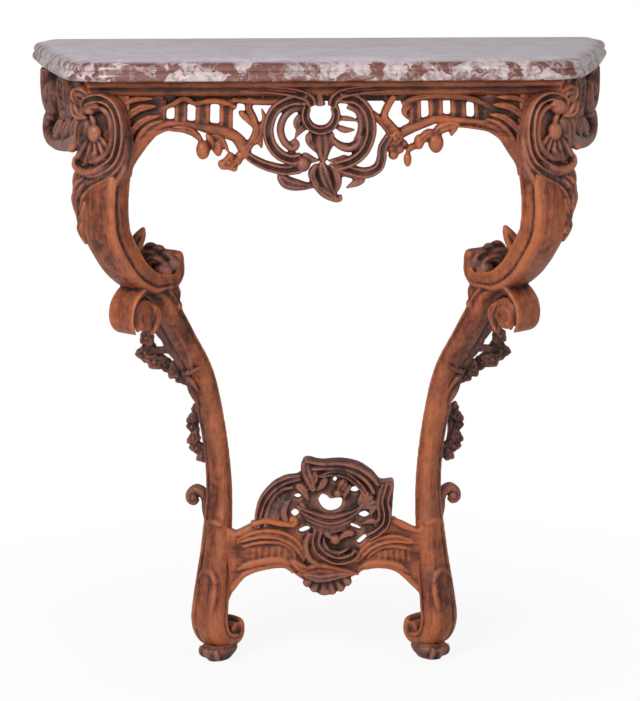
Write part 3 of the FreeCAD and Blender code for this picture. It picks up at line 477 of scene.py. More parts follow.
def noise(tree, vector, scale, detail, distortion=0.0):
    """Noise value on a vector."""
    links = {"Vector": vector, "Scale": scale, "Detail": detail, "Distortion": distortion}
    return node(tree, "ShaderNodeTexNoise", links).outputs["Fac"]


def mix(tree, factor, first, second, blend="MIX"):
    """Mix of two colours."""
    links = {0: factor, 6: first, 7: second}
    return node(tree, "ShaderNodeMix", links, data_type="RGBA", blend_type=blend).outputs[2]


def maths(tree, operation, first, second):
    """One sum of two values."""
    return node(tree, "ShaderNodeMath", {0: first, 1: second}, operation=operation).outputs[0]


def vector_maths(tree, operation, first, second):
    """One sum of two vectors."""
    return node(tree, "ShaderNodeVectorMath", {0: first, 1: second}, operation=operation).outputs[0]


def swing(tree, level, sources):
    """Level moved up and down by noises, each with a weight."""
    for source, weight in sources:
        share = maths(tree, "SUBTRACT", source, NOISE_MIDDLE)
        level = maths(tree, "ADD", level, maths(tree, "MULTIPLY", share, weight))
    return level


def remap(tree, value, start, end, low=0.0, high=1.0):
    """Value carried from one range to another."""
    links = {"Value": value, "From Min": start, "From Max": end, "To Min": low, "To Max": high}
    return node(tree, "ShaderNodeMapRange", links).outputs[0]


def new_material(name):
    """Nodes of a new material, and its main shader."""
    material = bpy.data.materials.new(name)
    material.use_nodes = True
    return material.node_tree, material.node_tree.nodes["Principled BSDF"]


def waxed_wood_group():
    """Colour, roughness and fine height of old waxed wood."""
    tree = bpy.data.node_groups.new("Waxed wood", "ShaderNodeTree")
    socket(tree, "Vector", "NodeSocketVector")
    socket(tree, "Relief and light", "NodeSocketFloat", value=LEVEL_RELIEF)
    socket(tree, "Stretch", "NodeSocketVector")
    for name in WOOD_TONES:
        socket(tree, name, "NodeSocketColor")
    socket(tree, "Color", "NodeSocketColor", "OUTPUT")
    socket(tree, "Roughness", "NodeSocketFloat", "OUTPUT")
    socket(tree, "Height", "NodeSocketFloat", "OUTPUT")
    ins = tree.nodes.new("NodeGroupInput").outputs
    stretched = vector_maths(tree, "MULTIPLY", ins["Vector"], ins["Stretch"])
    streaks = noise(tree, stretched, 12.0, 4.0, 0.8)
    grain = noise(tree, stretched, 60.0, 5.0, 0.5)
    patches = noise(tree, ins["Vector"], 14.0, 3.0, 0.4)
    mottle = noise(tree, ins["Vector"], 90.0, 5.0)
    # The relief sets the tone: hollows fall to the dark tone as old wax and painted shade, ridges rise to
    # the light one as rubbed wear, and painted light and shade spots move it up and down
    level = swing(tree, ins["Relief and light"], ((streaks, 0.5), (grain, 0.45), (patches, 0.6), (mottle, 0.36)))
    colour = mix(tree, remap(tree, level, 0.20, 0.52), ins["Dark"], ins["Mid"])
    colour = mix(tree, remap(tree, level, 0.46, 0.86), colour, ins["Light"])
    dust = noise(tree, ins["Vector"], 26.0, 4.0, 1.0)
    colour = mix(tree, remap(tree, dust, 0.50, 0.72, high=0.45), colour, ins["Dust"])
    rough = remap(tree, level, 0.0, 1.0, 0.60, 0.30)
    height = maths(tree, "ADD", grain, maths(tree, "MULTIPLY", mottle, 0.8))
    outs = tree.nodes.new("NodeGroupOutput")
    feed(tree, outs, {"Color": colour, "Roughness": rough, "Height": height})
    return tree


def wood_material(name, group, grain, colours, shade, carved):
    """Wood with its grain along one axis, darkened by a shade, and where it is carved by its relief: darker
    in the hollows as old wax and painted shade, lighter on the ridges, and with painted light and shade
    spots.
    """
    tree, shader = new_material(name)
    wood = node(tree, "ShaderNodeGroup", node_tree=group)
    relief_and_light = LEVEL_RELIEF - shade
    if carved:
        mark = node(tree, "ShaderNodeAttribute", attribute_name="relief_and_light").outputs["Fac"]
        relief_and_light = maths(tree, "SUBTRACT", mark, shade)
    place = node(tree, "ShaderNodeTexCoord").outputs["Object"]
    feed(tree, wood, {"Vector": place, "Relief and light": relief_and_light, "Stretch": grain})
    feed(tree, wood, {tone: (*colour, 1) for tone, colour in zip(WOOD_TONES, colours)})
    bump = node(tree, "ShaderNodeBump", {"Height": wood.outputs["Height"], "Strength": 0.3,
                                         "Distance": 0.0012})
    feed(tree, shader, {
        "Base Color": wood.outputs["Color"],
        "Roughness": wood.outputs["Roughness"],
        "Normal": bump.outputs["Normal"],
        "Specular IOR Level": 0.22,
        "Coat Weight": 0.05,
        "Coat Roughness": 0.3,
    })


def breccia_group():
    """Colour of a marble of broken lumps set in pale veins."""
    tree = bpy.data.node_groups.new("Breccia", "ShaderNodeTree")
    socket(tree, "Vector", "NodeSocketVector")
    for name in MARBLE_TONES:
        socket(tree, name, "NodeSocketColor")
    socket(tree, "Color", "NodeSocketColor", "OUTPUT")
    ins = tree.nodes.new("NodeGroupInput").outputs
    bend = node(tree, "ShaderNodeTexNoise", {"Vector": ins["Vector"], "Scale": 60.0, "Detail": 6.0})
    push = vector_maths(tree, "SUBTRACT", bend.outputs["Color"], (NOISE_MIDDLE,) * 3)
    push = vector_maths(tree, "MULTIPLY", push, (BEND_REACH,) * 3)
    bent = vector_maths(tree, "ADD", ins["Vector"], push)
    lumps = node(tree, "ShaderNodeTexVoronoi", {"Vector": bent, "Scale": 50.0}).outputs["Color"]
    lump = node(tree, "ShaderNodeSeparateColor", {"Color": lumps}).outputs["Red"]
    zones = noise(tree, ins["Vector"], 18.0, 3.0, 0.6)
    specks = noise(tree, bent, 130.0, 5.0)
    flecks = noise(tree, bent, 330.0, 3.0)
    pick = maths(tree, "MULTIPLY", lump, 0.85)
    pick = swing(tree, pick, ((zones, 1.6), (specks, 1.1), (flecks, 0.45)))
    colour = mix(tree, remap(tree, pick, 0.29, 0.46), ins["Red"], ins["Grey"])
    colour = mix(tree, remap(tree, pick, 0.46, 0.74), colour, ins["White"])
    colour = mix(tree, 1.0, colour, remap(tree, specks, 0.35, 0.65, 0.8, 1.2), "MULTIPLY")
    edges = node(tree, "ShaderNodeTexVoronoi", {"Vector": bent, "Scale": 24.0}, feature="DISTANCE_TO_EDGE")
    vein = remap(tree, edges.outputs["Distance"], 0.01, 0.05, 0.3, 0.0)
    colour = mix(tree, vein, colour, ins["White"])
    level = node(tree, "ShaderNodeSeparateXYZ", {"Vector": ins["Vector"]}).outputs["Z"]
    # Painted reflection: above these levels the top of the slab turns a paler lilac-grey
    top_reflection = remap(tree, level, REFLECTION_START, REFLECTION_END, high=0.7)
    colour = mix(tree, top_reflection, colour, ins["Top reflection"])
    feed(tree, tree.nodes.new("NodeGroupOutput"), {"Color": colour})
    return tree


def marble_material(name, group, colours):
    """Polished breccia."""
    tree, shader = new_material(name)
    stone = node(tree, "ShaderNodeGroup", node_tree=group)
    feed(tree, stone, {"Vector": node(tree, "ShaderNodeTexCoord").outputs["Object"]})
    feed(tree, stone, {tone: (*colour, 1) for tone, colour in zip(MARBLE_TONES, colours)})
    feed(tree, shader, {
        "Base Color": stone.outputs["Color"],
        "Roughness": 0.35,
        "Coat Weight": 0.4,
        "Coat Roughness": 0.3,
    })


# Settings
def colour_property(name, words, value):
    """Colour that a user can change in the panel."""
    return bpy.props.FloatVectorProperty(
        name=name, description=words, default=value, subtype="COLOR", min=0.0, max=1.0)


class PierTableSettings(bpy.types.PropertyGroup):
    """Detail, colours and light of the table."""

    detail: bpy.props.FloatProperty(
        name="Carving detail", description="Grain of the fused carving",
        default=1.3 * MM, min=0.8 * MM, max=4.0 * MM, precision=4, subtype="DISTANCE", unit="LENGTH")
    # Dark tone of the hollows: old wax, and painted shade
    wood_dark: colour_property("Wood hollows", "Old wax and painted shade in the hollows", (0.016, 0.008, 0.006))
    wood_mid: colour_property("Wood", "Wood on level ground", (0.117, 0.0275, 0.013))
    wood_light: colour_property("Wood edges", "Wood rubbed bright on the ridges", (0.362, 0.104, 0.040))
    wood_dust: colour_property("Wood dust", "Pale dust on the fine carving", (0.150, 0.080, 0.070))
    wood_wax: colour_property("Wax", "Dulled wax on the legs and the rails", (0.150, 0.062, 0.042))
    old_mid: colour_property("Old wood", "Darker wood of the fine carving", (0.070, 0.022, 0.017))
    old_light: colour_property("Old wood edges", "Ridges of the fine carving", (0.250, 0.092, 0.060))
    worn_light: colour_property("Worn edges", "Ridges of the corner shells", (0.310, 0.102, 0.052))
    marble_red: colour_property("Marble red", "Red lumps in the marble", (0.138, 0.041, 0.032))
    marble_grey: colour_property("Marble grey", "Grey lumps in the marble", (0.255, 0.176, 0.178))
    marble_white: colour_property("Marble white", "Veins and pale lumps", (0.435, 0.356, 0.346))
    # Painted reflection on the top of the slab
    marble_top_reflection: colour_property("Marble top reflection", "Painted reflection on the top of the slab",
                                  (0.610, 0.540, 0.630))
    key_power: bpy.props.FloatProperty(
        name="Key light", description="Power of the main lamp", default=70.0, min=0.0, unit="POWER")


# Operators
class PIER_OT_materials(bpy.types.Operator):
    """Make the wood and the marble"""

    bl_idname = "pier.materials"
    bl_label = "Materials"

    def execute(self, context):
        settings = context.scene.pier_table
        fresh = (settings.wood_dark, settings.wood_mid, settings.wood_light, settings.wood_wax)
        old = (settings.wood_dark, settings.old_mid, settings.old_light, settings.wood_dust)
        worn = (settings.wood_dark, settings.old_mid, settings.worn_light, settings.wood_dust)
        stone = (settings.marble_red, settings.marble_grey, settings.marble_white, settings.marble_top_reflection)
        wood = waxed_wood_group()
        for name, grain, colours, shade, carved in (
            ("Carved wood", GRAIN_UP, fresh, 0.0, True),
            ("Rail wood", GRAIN_ALONG, fresh, 0.06, True),
            ("Worn wood", GRAIN_UP, worn, 0.0, True),
            ("Dark wood", GRAIN_UP, old, 0.0, True),
            ("Deep wood", GRAIN_UP, old, 0.12, True),
            ("Bar wood", GRAIN_ALONG, fresh, -0.16, True),
            ("Plain wood", GRAIN_ALONG, old, 0.1, False),
        ):
            wood_material(name, wood, grain, colours, shade, carved)
        marble_material("Breccia marble", breccia_group(), stone)
        for name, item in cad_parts.items():
            if name == "marble_top":
                continue
            item.data.materials.clear()
            item.data.materials.append(bpy.data.materials["Plain wood"])
        return {"FINISHED"}


# Plan of the slab: its rear, shoulder and nose on the right, and how far the stretches between bulge
SLAB_REAR = (420.0, 200.0)
SLAB_SHOULDER = (350.0, -138.0)
SLAB_NOSE = (295.0, -200.0)
SIDE_BULGE = (4, 0)
CORNER_BULGE = (9, -9)

# Edge of the slab from its underside to its top: how far it is drawn in, and its level
SLAB_EDGE = ((12, 850), (5, 850.4), (1.6, 852), (0, 855.5), (0.6, 859.5), (3, 862.4), (3.6, 863.6),
             (2.6, 864.8), (2.4, 867.5), (4, 871.5), (8, 874.6), (14, 876.2), (20, 877.4), (27, 879.2),
             (36, 880))
EDGE_SHARPNESS = math.radians(40)


def slab_outline(inset):
    """Plan of the slab, drawn in from its sides and front, from the rear right round to the rear left."""
    rear = np.array(SLAB_REAR) + (-inset, 0)
    shoulder = np.array(SLAB_SHOULDER) + (-inset, inset)
    nose = np.array(SLAB_NOSE) + (-inset, inset)
    side_middle = (rear + shoulder) / 2 + SIDE_BULGE
    corner_middle = (shoulder + nose) / 2 + CORNER_BULGE
    side = smooth_line([rear, side_middle, shoulder, corner_middle, nose], steps=10)
    front = [(x, nose[1]) for x in np.linspace(nose[0], -nose[0], 20)[1:-1]]
    left = [(-x, y) for x, y in side[::-1]]
    back = [(x, rear[1]) for x in np.linspace(-rear[0], rear[0], 24)[1:-1]]
    return [*side, *front, *left, *back]


class PIER_OT_slab(bpy.types.Operator):
    """Make the marble slab with its moulded edge"""

    bl_idname = "pier.slab"
    bl_label = "Slab"

    def execute(self, context):
        work = Carving()
        work.rings([[(x, y, level) for x, y in slab_outline(inset)] for inset, level in SLAB_EDGE])
        item = work.raw_piece("marble_slab")
        choose(item)
        bpy.ops.object.shade_smooth_by_angle(angle=EDGE_SHARPNESS)
        finish_piece(item, "Breccia marble", ["marble_top"], "top")
        return {"FINISHED"}


# Sections of a leg: across the band from its inner edge, and out to its moulded face
KNEE_SECTION = ((-0.88, -1.5), (-1, -1.38), (-1.03, -0.7), (-1.01, -0.2), (-0.97, -0.06), (-0.88, 0.03),
                (-0.91, 0.15), (-1, 0.24), (-0.99, 0.5), (-0.9, 0.76), (-0.7, 0.94), (-0.3, 1.04),
                (0.15, 1.08), (0.55, 1), (0.86, 0.74), (1, 0.35), (1, -1.3), (0.9, -1.5))
SHIN_SECTION = ((-0.9, -1), (-1, -0.88), (-1.02, -0.66), (-0.93, -0.54), (-0.93, -0.44), (-1.02, -0.34),
                (-0.98, 0.12), (-0.84, 0.52), (-0.6, 0.82), (-0.2, 0.98), (0.1, 1.04), (0.36, 1),
                (0.44, 0.8), (0.52, 0.8), (0.6, 0.94), (0.86, 0.8), (1, 0.4), (1, -0.8), (0.9, -1))
VOLUTE_SECTION = ((-0.9, -1), (-1, -0.95), (-1.06, -0.72), (-0.98, -0.54), (-0.82, -0.52), (-0.78, -0.36),
                  (-0.84, -0.08), (-0.70, 0.10), (-0.50, 0.08), (-0.44, 0.24), (-0.44, 0.56),
                  (-0.28, 0.72), (-0.06, 0.68), (0.02, 0.82), (0.1, 1.04), (0.6, 1.1), (1, 0.6), (1, -0.8),
                  (0.9, -1))

# Lines of the leg in its own plane: run, rise, half width and half depth
KNEE_LINE = ((191, 800, 29, 13.5), (201, 740, 31, 14.4), (210, 692, 32.5, 15), (207, 648, 32, 14.8),
             (189, 615, 31, 14.4), (169, 590, 30, 13.8), (147, 574, 28.5, 12.8), (127, 566, 27, 11.4))
KNEE_LIP = ((80.6, 597, 24, 7.4), (81.2, 604, 23.5, 6.4), (82.4, 608, 23, 4.5))
VOLUTE_LINE = ((160, 506, 13, 3.5), (165, 509, 19, 6), (169, 516, 22.5, 7.5), (170.5, 528, 23.5, 8.5),
               (165, 544, 24, 9.5), (150, 556.5, 24, 10.5), (131, 559, 24, 11.5))
SHIN_LINE = ((109, 547, 24, 12.6), (86, 516, 22.5, 12.6), (63, 482, 21.6, 12.4), (25.3, 425, 19.4, 11.8),
             (0, 340, 17.6, 11.2), (-10.4, 255, 18, 11.6))
FOOT_LINE = ((-3, 170, 21.4, 13.4), (10.4, 90, 25.4, 15.4), (13.4, 58, 26, 15.6), (4.4, 36, 25.4, 14.4),
             (-12, 25.5, 24.4, 12.5))
TOE = ((-39, 45, 22, 7.5), (-38, 51, 21, 6.5), (-35.5, 55.5, 20, 4))

# Runs between which the section of the lower leg passes into that of the volute
SHIN_RUN = 92.0
VOLUTE_RUN = 136.0

# Plan and levels of the post behind the corner shell
POST_PLAN = ((258, -160), (290, -158), (312, -140), (312, -118), (258, -118))
POST_LEVELS = (750, 849)


def leg_rings(line, section, rolled=None):
    """Sections of the band along a line in the plane of the leg, and of its end that is rolled outward."""
    run = np.gradient(line[:, :2], axis=0)
    run /= np.linalg.norm(run, axis=1)[:, None]
    plain = np.array(section)
    rings = []
    for (s, z, half, deep), (ds, dz) in zip(line, run):
        shape = plain
        if rolled:
            share = np.clip((s - SHIN_RUN) / (VOLUTE_RUN - SHIN_RUN), 0, 1)
            shape = plain + (np.array(rolled) - plain) * share
        centre = leg_point(s, z)
        face = LEG_OUT * -dz + np.array([0, 0, 1]) * ds
        rings.append([centre + LEG_ACROSS * x * half + face * y * deep for x, y in shape])
    return rings


def with_sizes(path, halves, depths):
    """Rows of a path with its half widths and half depths running from first to last."""
    return np.column_stack([path, np.linspace(*halves, len(path)), np.linspace(*depths, len(path))])


class PIER_OT_legs(bpy.types.Operator):
    """Make the two scroll legs"""

    bl_idname = "pier.legs"
    bl_label = "Legs"

    def shade_and_highlight_spots(self, right):
        """Painted shade and painted light on a leg: shade round the volute, the garland, the foot curl and
        the thorn, a shadow down the outer edge of the shin with a thin highlight beside it, and light on
        the knee, stronger on the right leg.
        """
        shade_and_highlight_spots = [
            (leg_point(104, 570), 36, -0.16),
            (leg_point(66, 484), 52, -0.24),
            (leg_point(0, 330), 70, 0.08 if right else -0.08),
            (leg_point(0, 120), 60, -0.06),
            (leg_point(215, 640), 60, 0.16 if right else -0.04),
            (leg_point(222, 660) + LEG_ACROSS * 5, 26, 0.14 if right else 0.06),
            (leg_point(-26, 46), 22, -0.25),
            ((255, -106, 632), 14, -0.3),
        ]
        for run, rise, half, deep in smooth_line(SHIN_LINE):
            shade_and_highlight_spots.append((leg_point(run, rise) + LEG_ACROSS * 0.9 * half, 12, -0.17))
            shade_and_highlight_spots.append((leg_point(run + deep, rise) - LEG_ACROSS * 0.1 * half, 9, 0.05))
        return shade_and_highlight_spots

    def volute(self, leg):
        """Core inside the roll that the lower leg ends in, with a rib and a leaf on its inner side."""
        for reach, yaw, hand in ((-12, INNER_TURN, 1), (16, INNER_TURN + 180, -1)):
            work = leg.on_plane(leg_point(0, 0) + LEG_ACROSS * reach, yaw)
            work.bead(hand * 146, 527, 22, 8)
            arc = spiral((147, 523), (11, 13), (-60, 190), 20)
            work.stroke([(hand * u, v, 4.5) for u, v in arc], ROUND, 8, 20, steps=1)
            work.leaf([(hand * 134, 542), (hand * 124, 524), (hand * 130, 498)], 8, 11)
            work.bead(hand * 87, 533, 10, 14)
            work.leaf([(hand * 104, 564), (hand * 89, 554), (hand * 84, 532)], 9, 14)

    def leaves(self, leg):
        """Leaves carved on the front of the foot, round the ankle and inside the knee."""
        foot = leg.on_plane(leg_point(8, 0), LEG_TURN)
        foot.stroke([(-19, 120, 2, 10), (-7, 132, 6, 7), (7, 130, 6, 7), (19, 116, 2, 10)], ROUND, 4, 6)
        for top, middle, low, half in ((-13, -15, -9, 6), (-2, -2, 1, 7), (9, 12, 13, 6)):
            foot.leaf([(top, 130, 5), (middle, 96, 13), (low, 50, 18)], half, 4)
        ankle = leg.on_plane(leg_point(-6, 0), LEG_TURN)
        ankle.leaf([(14, 196), (-2, 205), (-18, 202)], 5, 4, 9)
        ankle.leaf([(12, 206), (0, 196), (-4, 178)], 5, 4, 9)
        thorn = leg.on_plane(*THORN_PLANE)
        point = [(268, 600, 12), (262, 614, 12), (255, 626, 10), (249, 637, 7), (245, 646, 2)]
        thorn.stroke(point, LEAF, 7, 9)
        roll = spiral((-25, 42), (10, 10), (0, 342), 20)
        leg.rings([[leg_point(s, z) + LEG_ACROSS * x for s, z in roll] for x in (-20, -7, 7, 20)])

    def execute(self, context):
        knee_roll = with_sizes(spiral((101.5, 586), (20, 21), (288, 172), 20), (27, 24), (10, 8))
        foot_roll = with_sizes(spiral((-24, 40), (14.5, 15), (285, 184), 14), (24, 22), (11.5, 8))
        lower = (*VOLUTE_LINE, *SHIN_LINE, *FOOT_LINE)
        knee = np.vstack([smooth_line(KNEE_LINE, steps=10)[:-1], knee_roll, KNEE_LIP])
        shin = np.vstack([smooth_line(lower, steps=12)[:-1], foot_roll, TOE])
        for side in ("left", "right"):
            work = Carving()
            work.rings(leg_rings(knee, KNEE_SECTION))
            work.rings(leg_rings(shin, SHIN_SECTION, VOLUTE_SECTION))
            self.volute(work)
            self.leaves(work)
            work.rings([[(x, y, level) for x, y in POST_PLAN] for level in POST_LEVELS])
            shade_and_highlight_spots = self.shade_and_highlight_spots(side == "right")
            item = work.piece("carved_" + side + "_leg", side == "left", LEG_VOXEL, 3, shade_and_highlight_spots=shade_and_highlight_spots)
            finish_piece(item, "Carved wood", [side + "_leg"])
        return {"FINISHED"}


# Front rail: its moulded profile from back to back, its half length, and its stub ends
RAIL_BACK = -142
RAIL_PROFILE = ((RAIL_BACK, 849), (-166, 849), (-169, 847), (-169.5, 843), (-168, 840.5), (-165.5, 839.5),
                (-165.5, 834), (-164, 831.5), (-160, 829), (RAIL_BACK, 829))
RAIL_HALF = 312
RAIL_END = 317
RAIL_END_SHARE = 0.55


class PIER_OT_front_rail(bpy.types.Operator):
    """Make the moulded strip under the slab"""

    bl_idname = "pier.front_rail"
    bl_label = "Front rail"

    def execute(self, context):
        work = Carving()
        middle = [(x, 1.0) for x in np.linspace(-RAIL_HALF, RAIL_HALF, 40)]
        sections = []
        for x, share in ((-RAIL_END, RAIL_END_SHARE), *middle, (RAIL_END, RAIL_END_SHARE)):
            sections.append([(x, RAIL_BACK + (y - RAIL_BACK) * share, z) for y, z in RAIL_PROFILE])
        work.rings(sections)
        item = work.piece("moulded_front_rail", soften=2, rough=0.2)
        finish_piece(item, "Rail wood", ["front_rail"])
        return {"FINISHED"}


class PIER_OT_aprons(bpy.types.Operator):
    """Carve the two pierced aprons and the sprays that hang from them"""

    bl_idname = "pier.aprons"
    bl_label = "Aprons"

    def panel(self, hand, arch, fillet, rises, bars, swag, top, corner):
        """Arch with its fillet, bars between the slots, leaf and strip over them, and the corner."""
        work = Carving(*APRON_PLANE)
        work.stroke(arch, ROUND, 11, APRON_BACK)
        work.stroke(fillet, ROUND, 8, APRON_BACK)
        low, middle, high = rises
        for across, half in bars:
            bar = [(across, low, half), (across, middle, half), (across - hand, high, half)]
            work.stroke(bar, CHANNEL, 5, APRON_BACK)
        work.stroke(swag, LEAF, 9, APRON_BACK)
        work.stroke(top, ROUND, 2, APRON_BACK)
        self.spandrel(work, hand, corner)
        return work

    def spandrel(self, work, hand, corner):
        """Folded leaf that fills the corner between the arch and the post."""
        outline = ((214, 830), (278, 830), (280, 770), (272, 712), (262, 716), (257, 744), (246, 766),
                   (230, 783), (212, corner))
        work.board([(hand * u, v) for u, v in outline], 14, 5)
        for points, half in (
            (((218, 803), (238, 798), (256, 782), (267, 757), (272, 724)), 5.5),
            (((222, 816), (246, 812), (266, 796), (276, 768)), 6),
            (((226, 826), (254, 824), (274, 812)), 4.5),
            (((214, 797), (232, 790), (247, 775), (258, 752), (264, 722)), 4),
        ):
            work.leaf([(hand * u, v) for u, v in points], half, 8, 5)

    def left(self):
        """Left apron and its spray."""
        arch = [(-264, 720, 6), (-262, 737, 8), (-253, 757, 11), (-239, 775, 11), (-222, 787, 8),
                (-206, 792, 5.5), (-186, 791, 5), (-167, 788, 6), (-150, 784.5, 8), (-132, 780, 8.5),
                (-115, 771, 7), (-104, 758, 6)]
        fillet = [(-250, 752, 2), (-236, 768, 2.4), (-222, 779, 2.4), (-205, 785, 2.4), (-187, 784, 2.4),
                  (-172, 779, 2)]
        bars = ((-217, 7), (-191, 8.5), (-162, 9.8), (-131, 9))
        swag = [(-228, 806, 2.5), (-203, 817, 4), (-186, 825, 5), (-171, 819, 4), (-150, 822, 4.5),
                (-134, 820, 4.5), (-117, 813, 3)]
        top = [(-256, 825, 8), (-180, 827, 5), (-100, 826, 6)]
        work = self.panel(-1, arch, fillet, (786, 800, 824), bars, swag, top, 792)
        end = [(-106, 754, 6), (-97, 768, 5), (-91, 783, 5), (-95, 799, 5), (-101, 812, 5), (-98, 826, 5)]
        work.stroke(end, LEAF, 10, APRON_BACK)
        work.leaf([(-101, 764), (-90, 772), (-84, 790)], 6, 9)
        work.leaf([(-114, 808), (-105, 800), (-95, 786)], 5, 9)
        work.leaf([(-84, 758), (-87, 776), (-80, 796), (-84, 812)], 5, 8)
        work.stroke([(-122, 823, 4), (-95, 821, 5), (-60, 820, 5)], ROUND, 9, APRON_BACK)
        work.stroke([(-116, 770, 7), (-108, 758, 8), (-103, 746, 7)], ROUND, 9, APRON_BACK)
        spray = Carving(*APRON_PLANE)
        spray.leaf([(-212, 785), (-186, 785), (-170, 776), (-160, 762)], 6, 9)
        spray.bead(-162, 757, 9.5, 10, 2, 1.4)
        spray.leaf([(-158, 778), (-150, 768), (-147, 752)], 5, 9)
        spray.bead(-142, 760, 6.5, 8, 1, 1.9)
        spray.leaf([(-150, 778), (-138, 770), (-127, 752)], 5, 8)
        spray.flower(-128, 740, 12, 8, 1)
        for across, rise, size in ((-117, 742, 7), (-112, 749, 7), (-137, 738, 6), (-121, 732, 5)):
            spray.bead(across, rise, size, size + 1)
        return work, spray

    def right(self):
        """Right apron and its spray."""
        arch = [(264, 720, 6), (262, 737, 8), (253, 757, 11), (239, 776, 10), (220, 789, 7.5),
                (198, 793, 5.5), (175, 795, 6), (151, 797, 6.5), (137, 793, 6.5), (121, 787, 7),
                (106, 780, 7), (92, 770, 6)]
        fillet = [(250, 752, 2), (236, 768, 2.4), (220, 780, 2.4), (198, 785, 2.4), (176, 787, 2)]
        bars = ((120, 8), (147.5, 9.5), (177.5, 10.5), (207.5, 9))
        swag = [(228, 806, 2.5), (206, 819, 4.5), (184, 825, 5), (150, 827, 5), (122, 825, 5),
                (102, 816, 4)]
        top = [(256, 825, 8), (180, 828, 5), (90, 827, 5)]
        work = self.panel(1, arch, fillet, (790, 805, 826), bars, swag, top, 794)
        work.stroke([(92, 828, 5), (83, 813, 5), (79, 800, 5), (88, 788, 5), (99, 777, 5)], LEAF, 10,
                    APRON_BACK)
        work.stroke([(58, 808, 4), (71, 797, 5), (83, 784, 5), (90, 772, 5)], LEAF, 9, APRON_BACK)
        work.leaf([(116, 818), (106, 808), (110, 796)], 5, 8)
        spray = Carving(*APRON_PLANE)
        spray.leaf([(182, 790), (162, 787), (150, 780), (146, 764)], 8, 9)
        spray.leaf([(176, 786), (170, 780), (168, 773)], 4, 8)
        spray.bead(147.5, 765, 10.5, 10, 2, 1.35)
        spray.leaf([(144, 782), (132, 772), (120, 757)], 7, 9)
        spray.bead(125, 766, 7, 8, 1, 1.5)
        spray.leaf([(122, 762), (114, 758), (108, 750)], 5, 8)
        spray.bead(110, 743, 5.5, 7, 1, 1.9)
        spray.flower(93, 771, 12, 9, 2)
        for across, rise, size, height in ((99, 757, 7, 8), (88, 758, 7, 8), (91, 749, 7, 8),
                                           (105, 764, 5, 7)):
            spray.bead(across, rise, size, height)
        return work, spray

    def execute(self, context):
        for side, make in (("left", self.left), ("right", self.right)):
            work, spray = make()
            finish_piece(work.piece("carved_" + side + "_apron"), "Rail wood", [side + "_apron"])
            finish_piece(spray.piece("carved_" + side + "_spray"), "Carved wood", [side + "_apron_spray"])
        return {"FINISHED"}


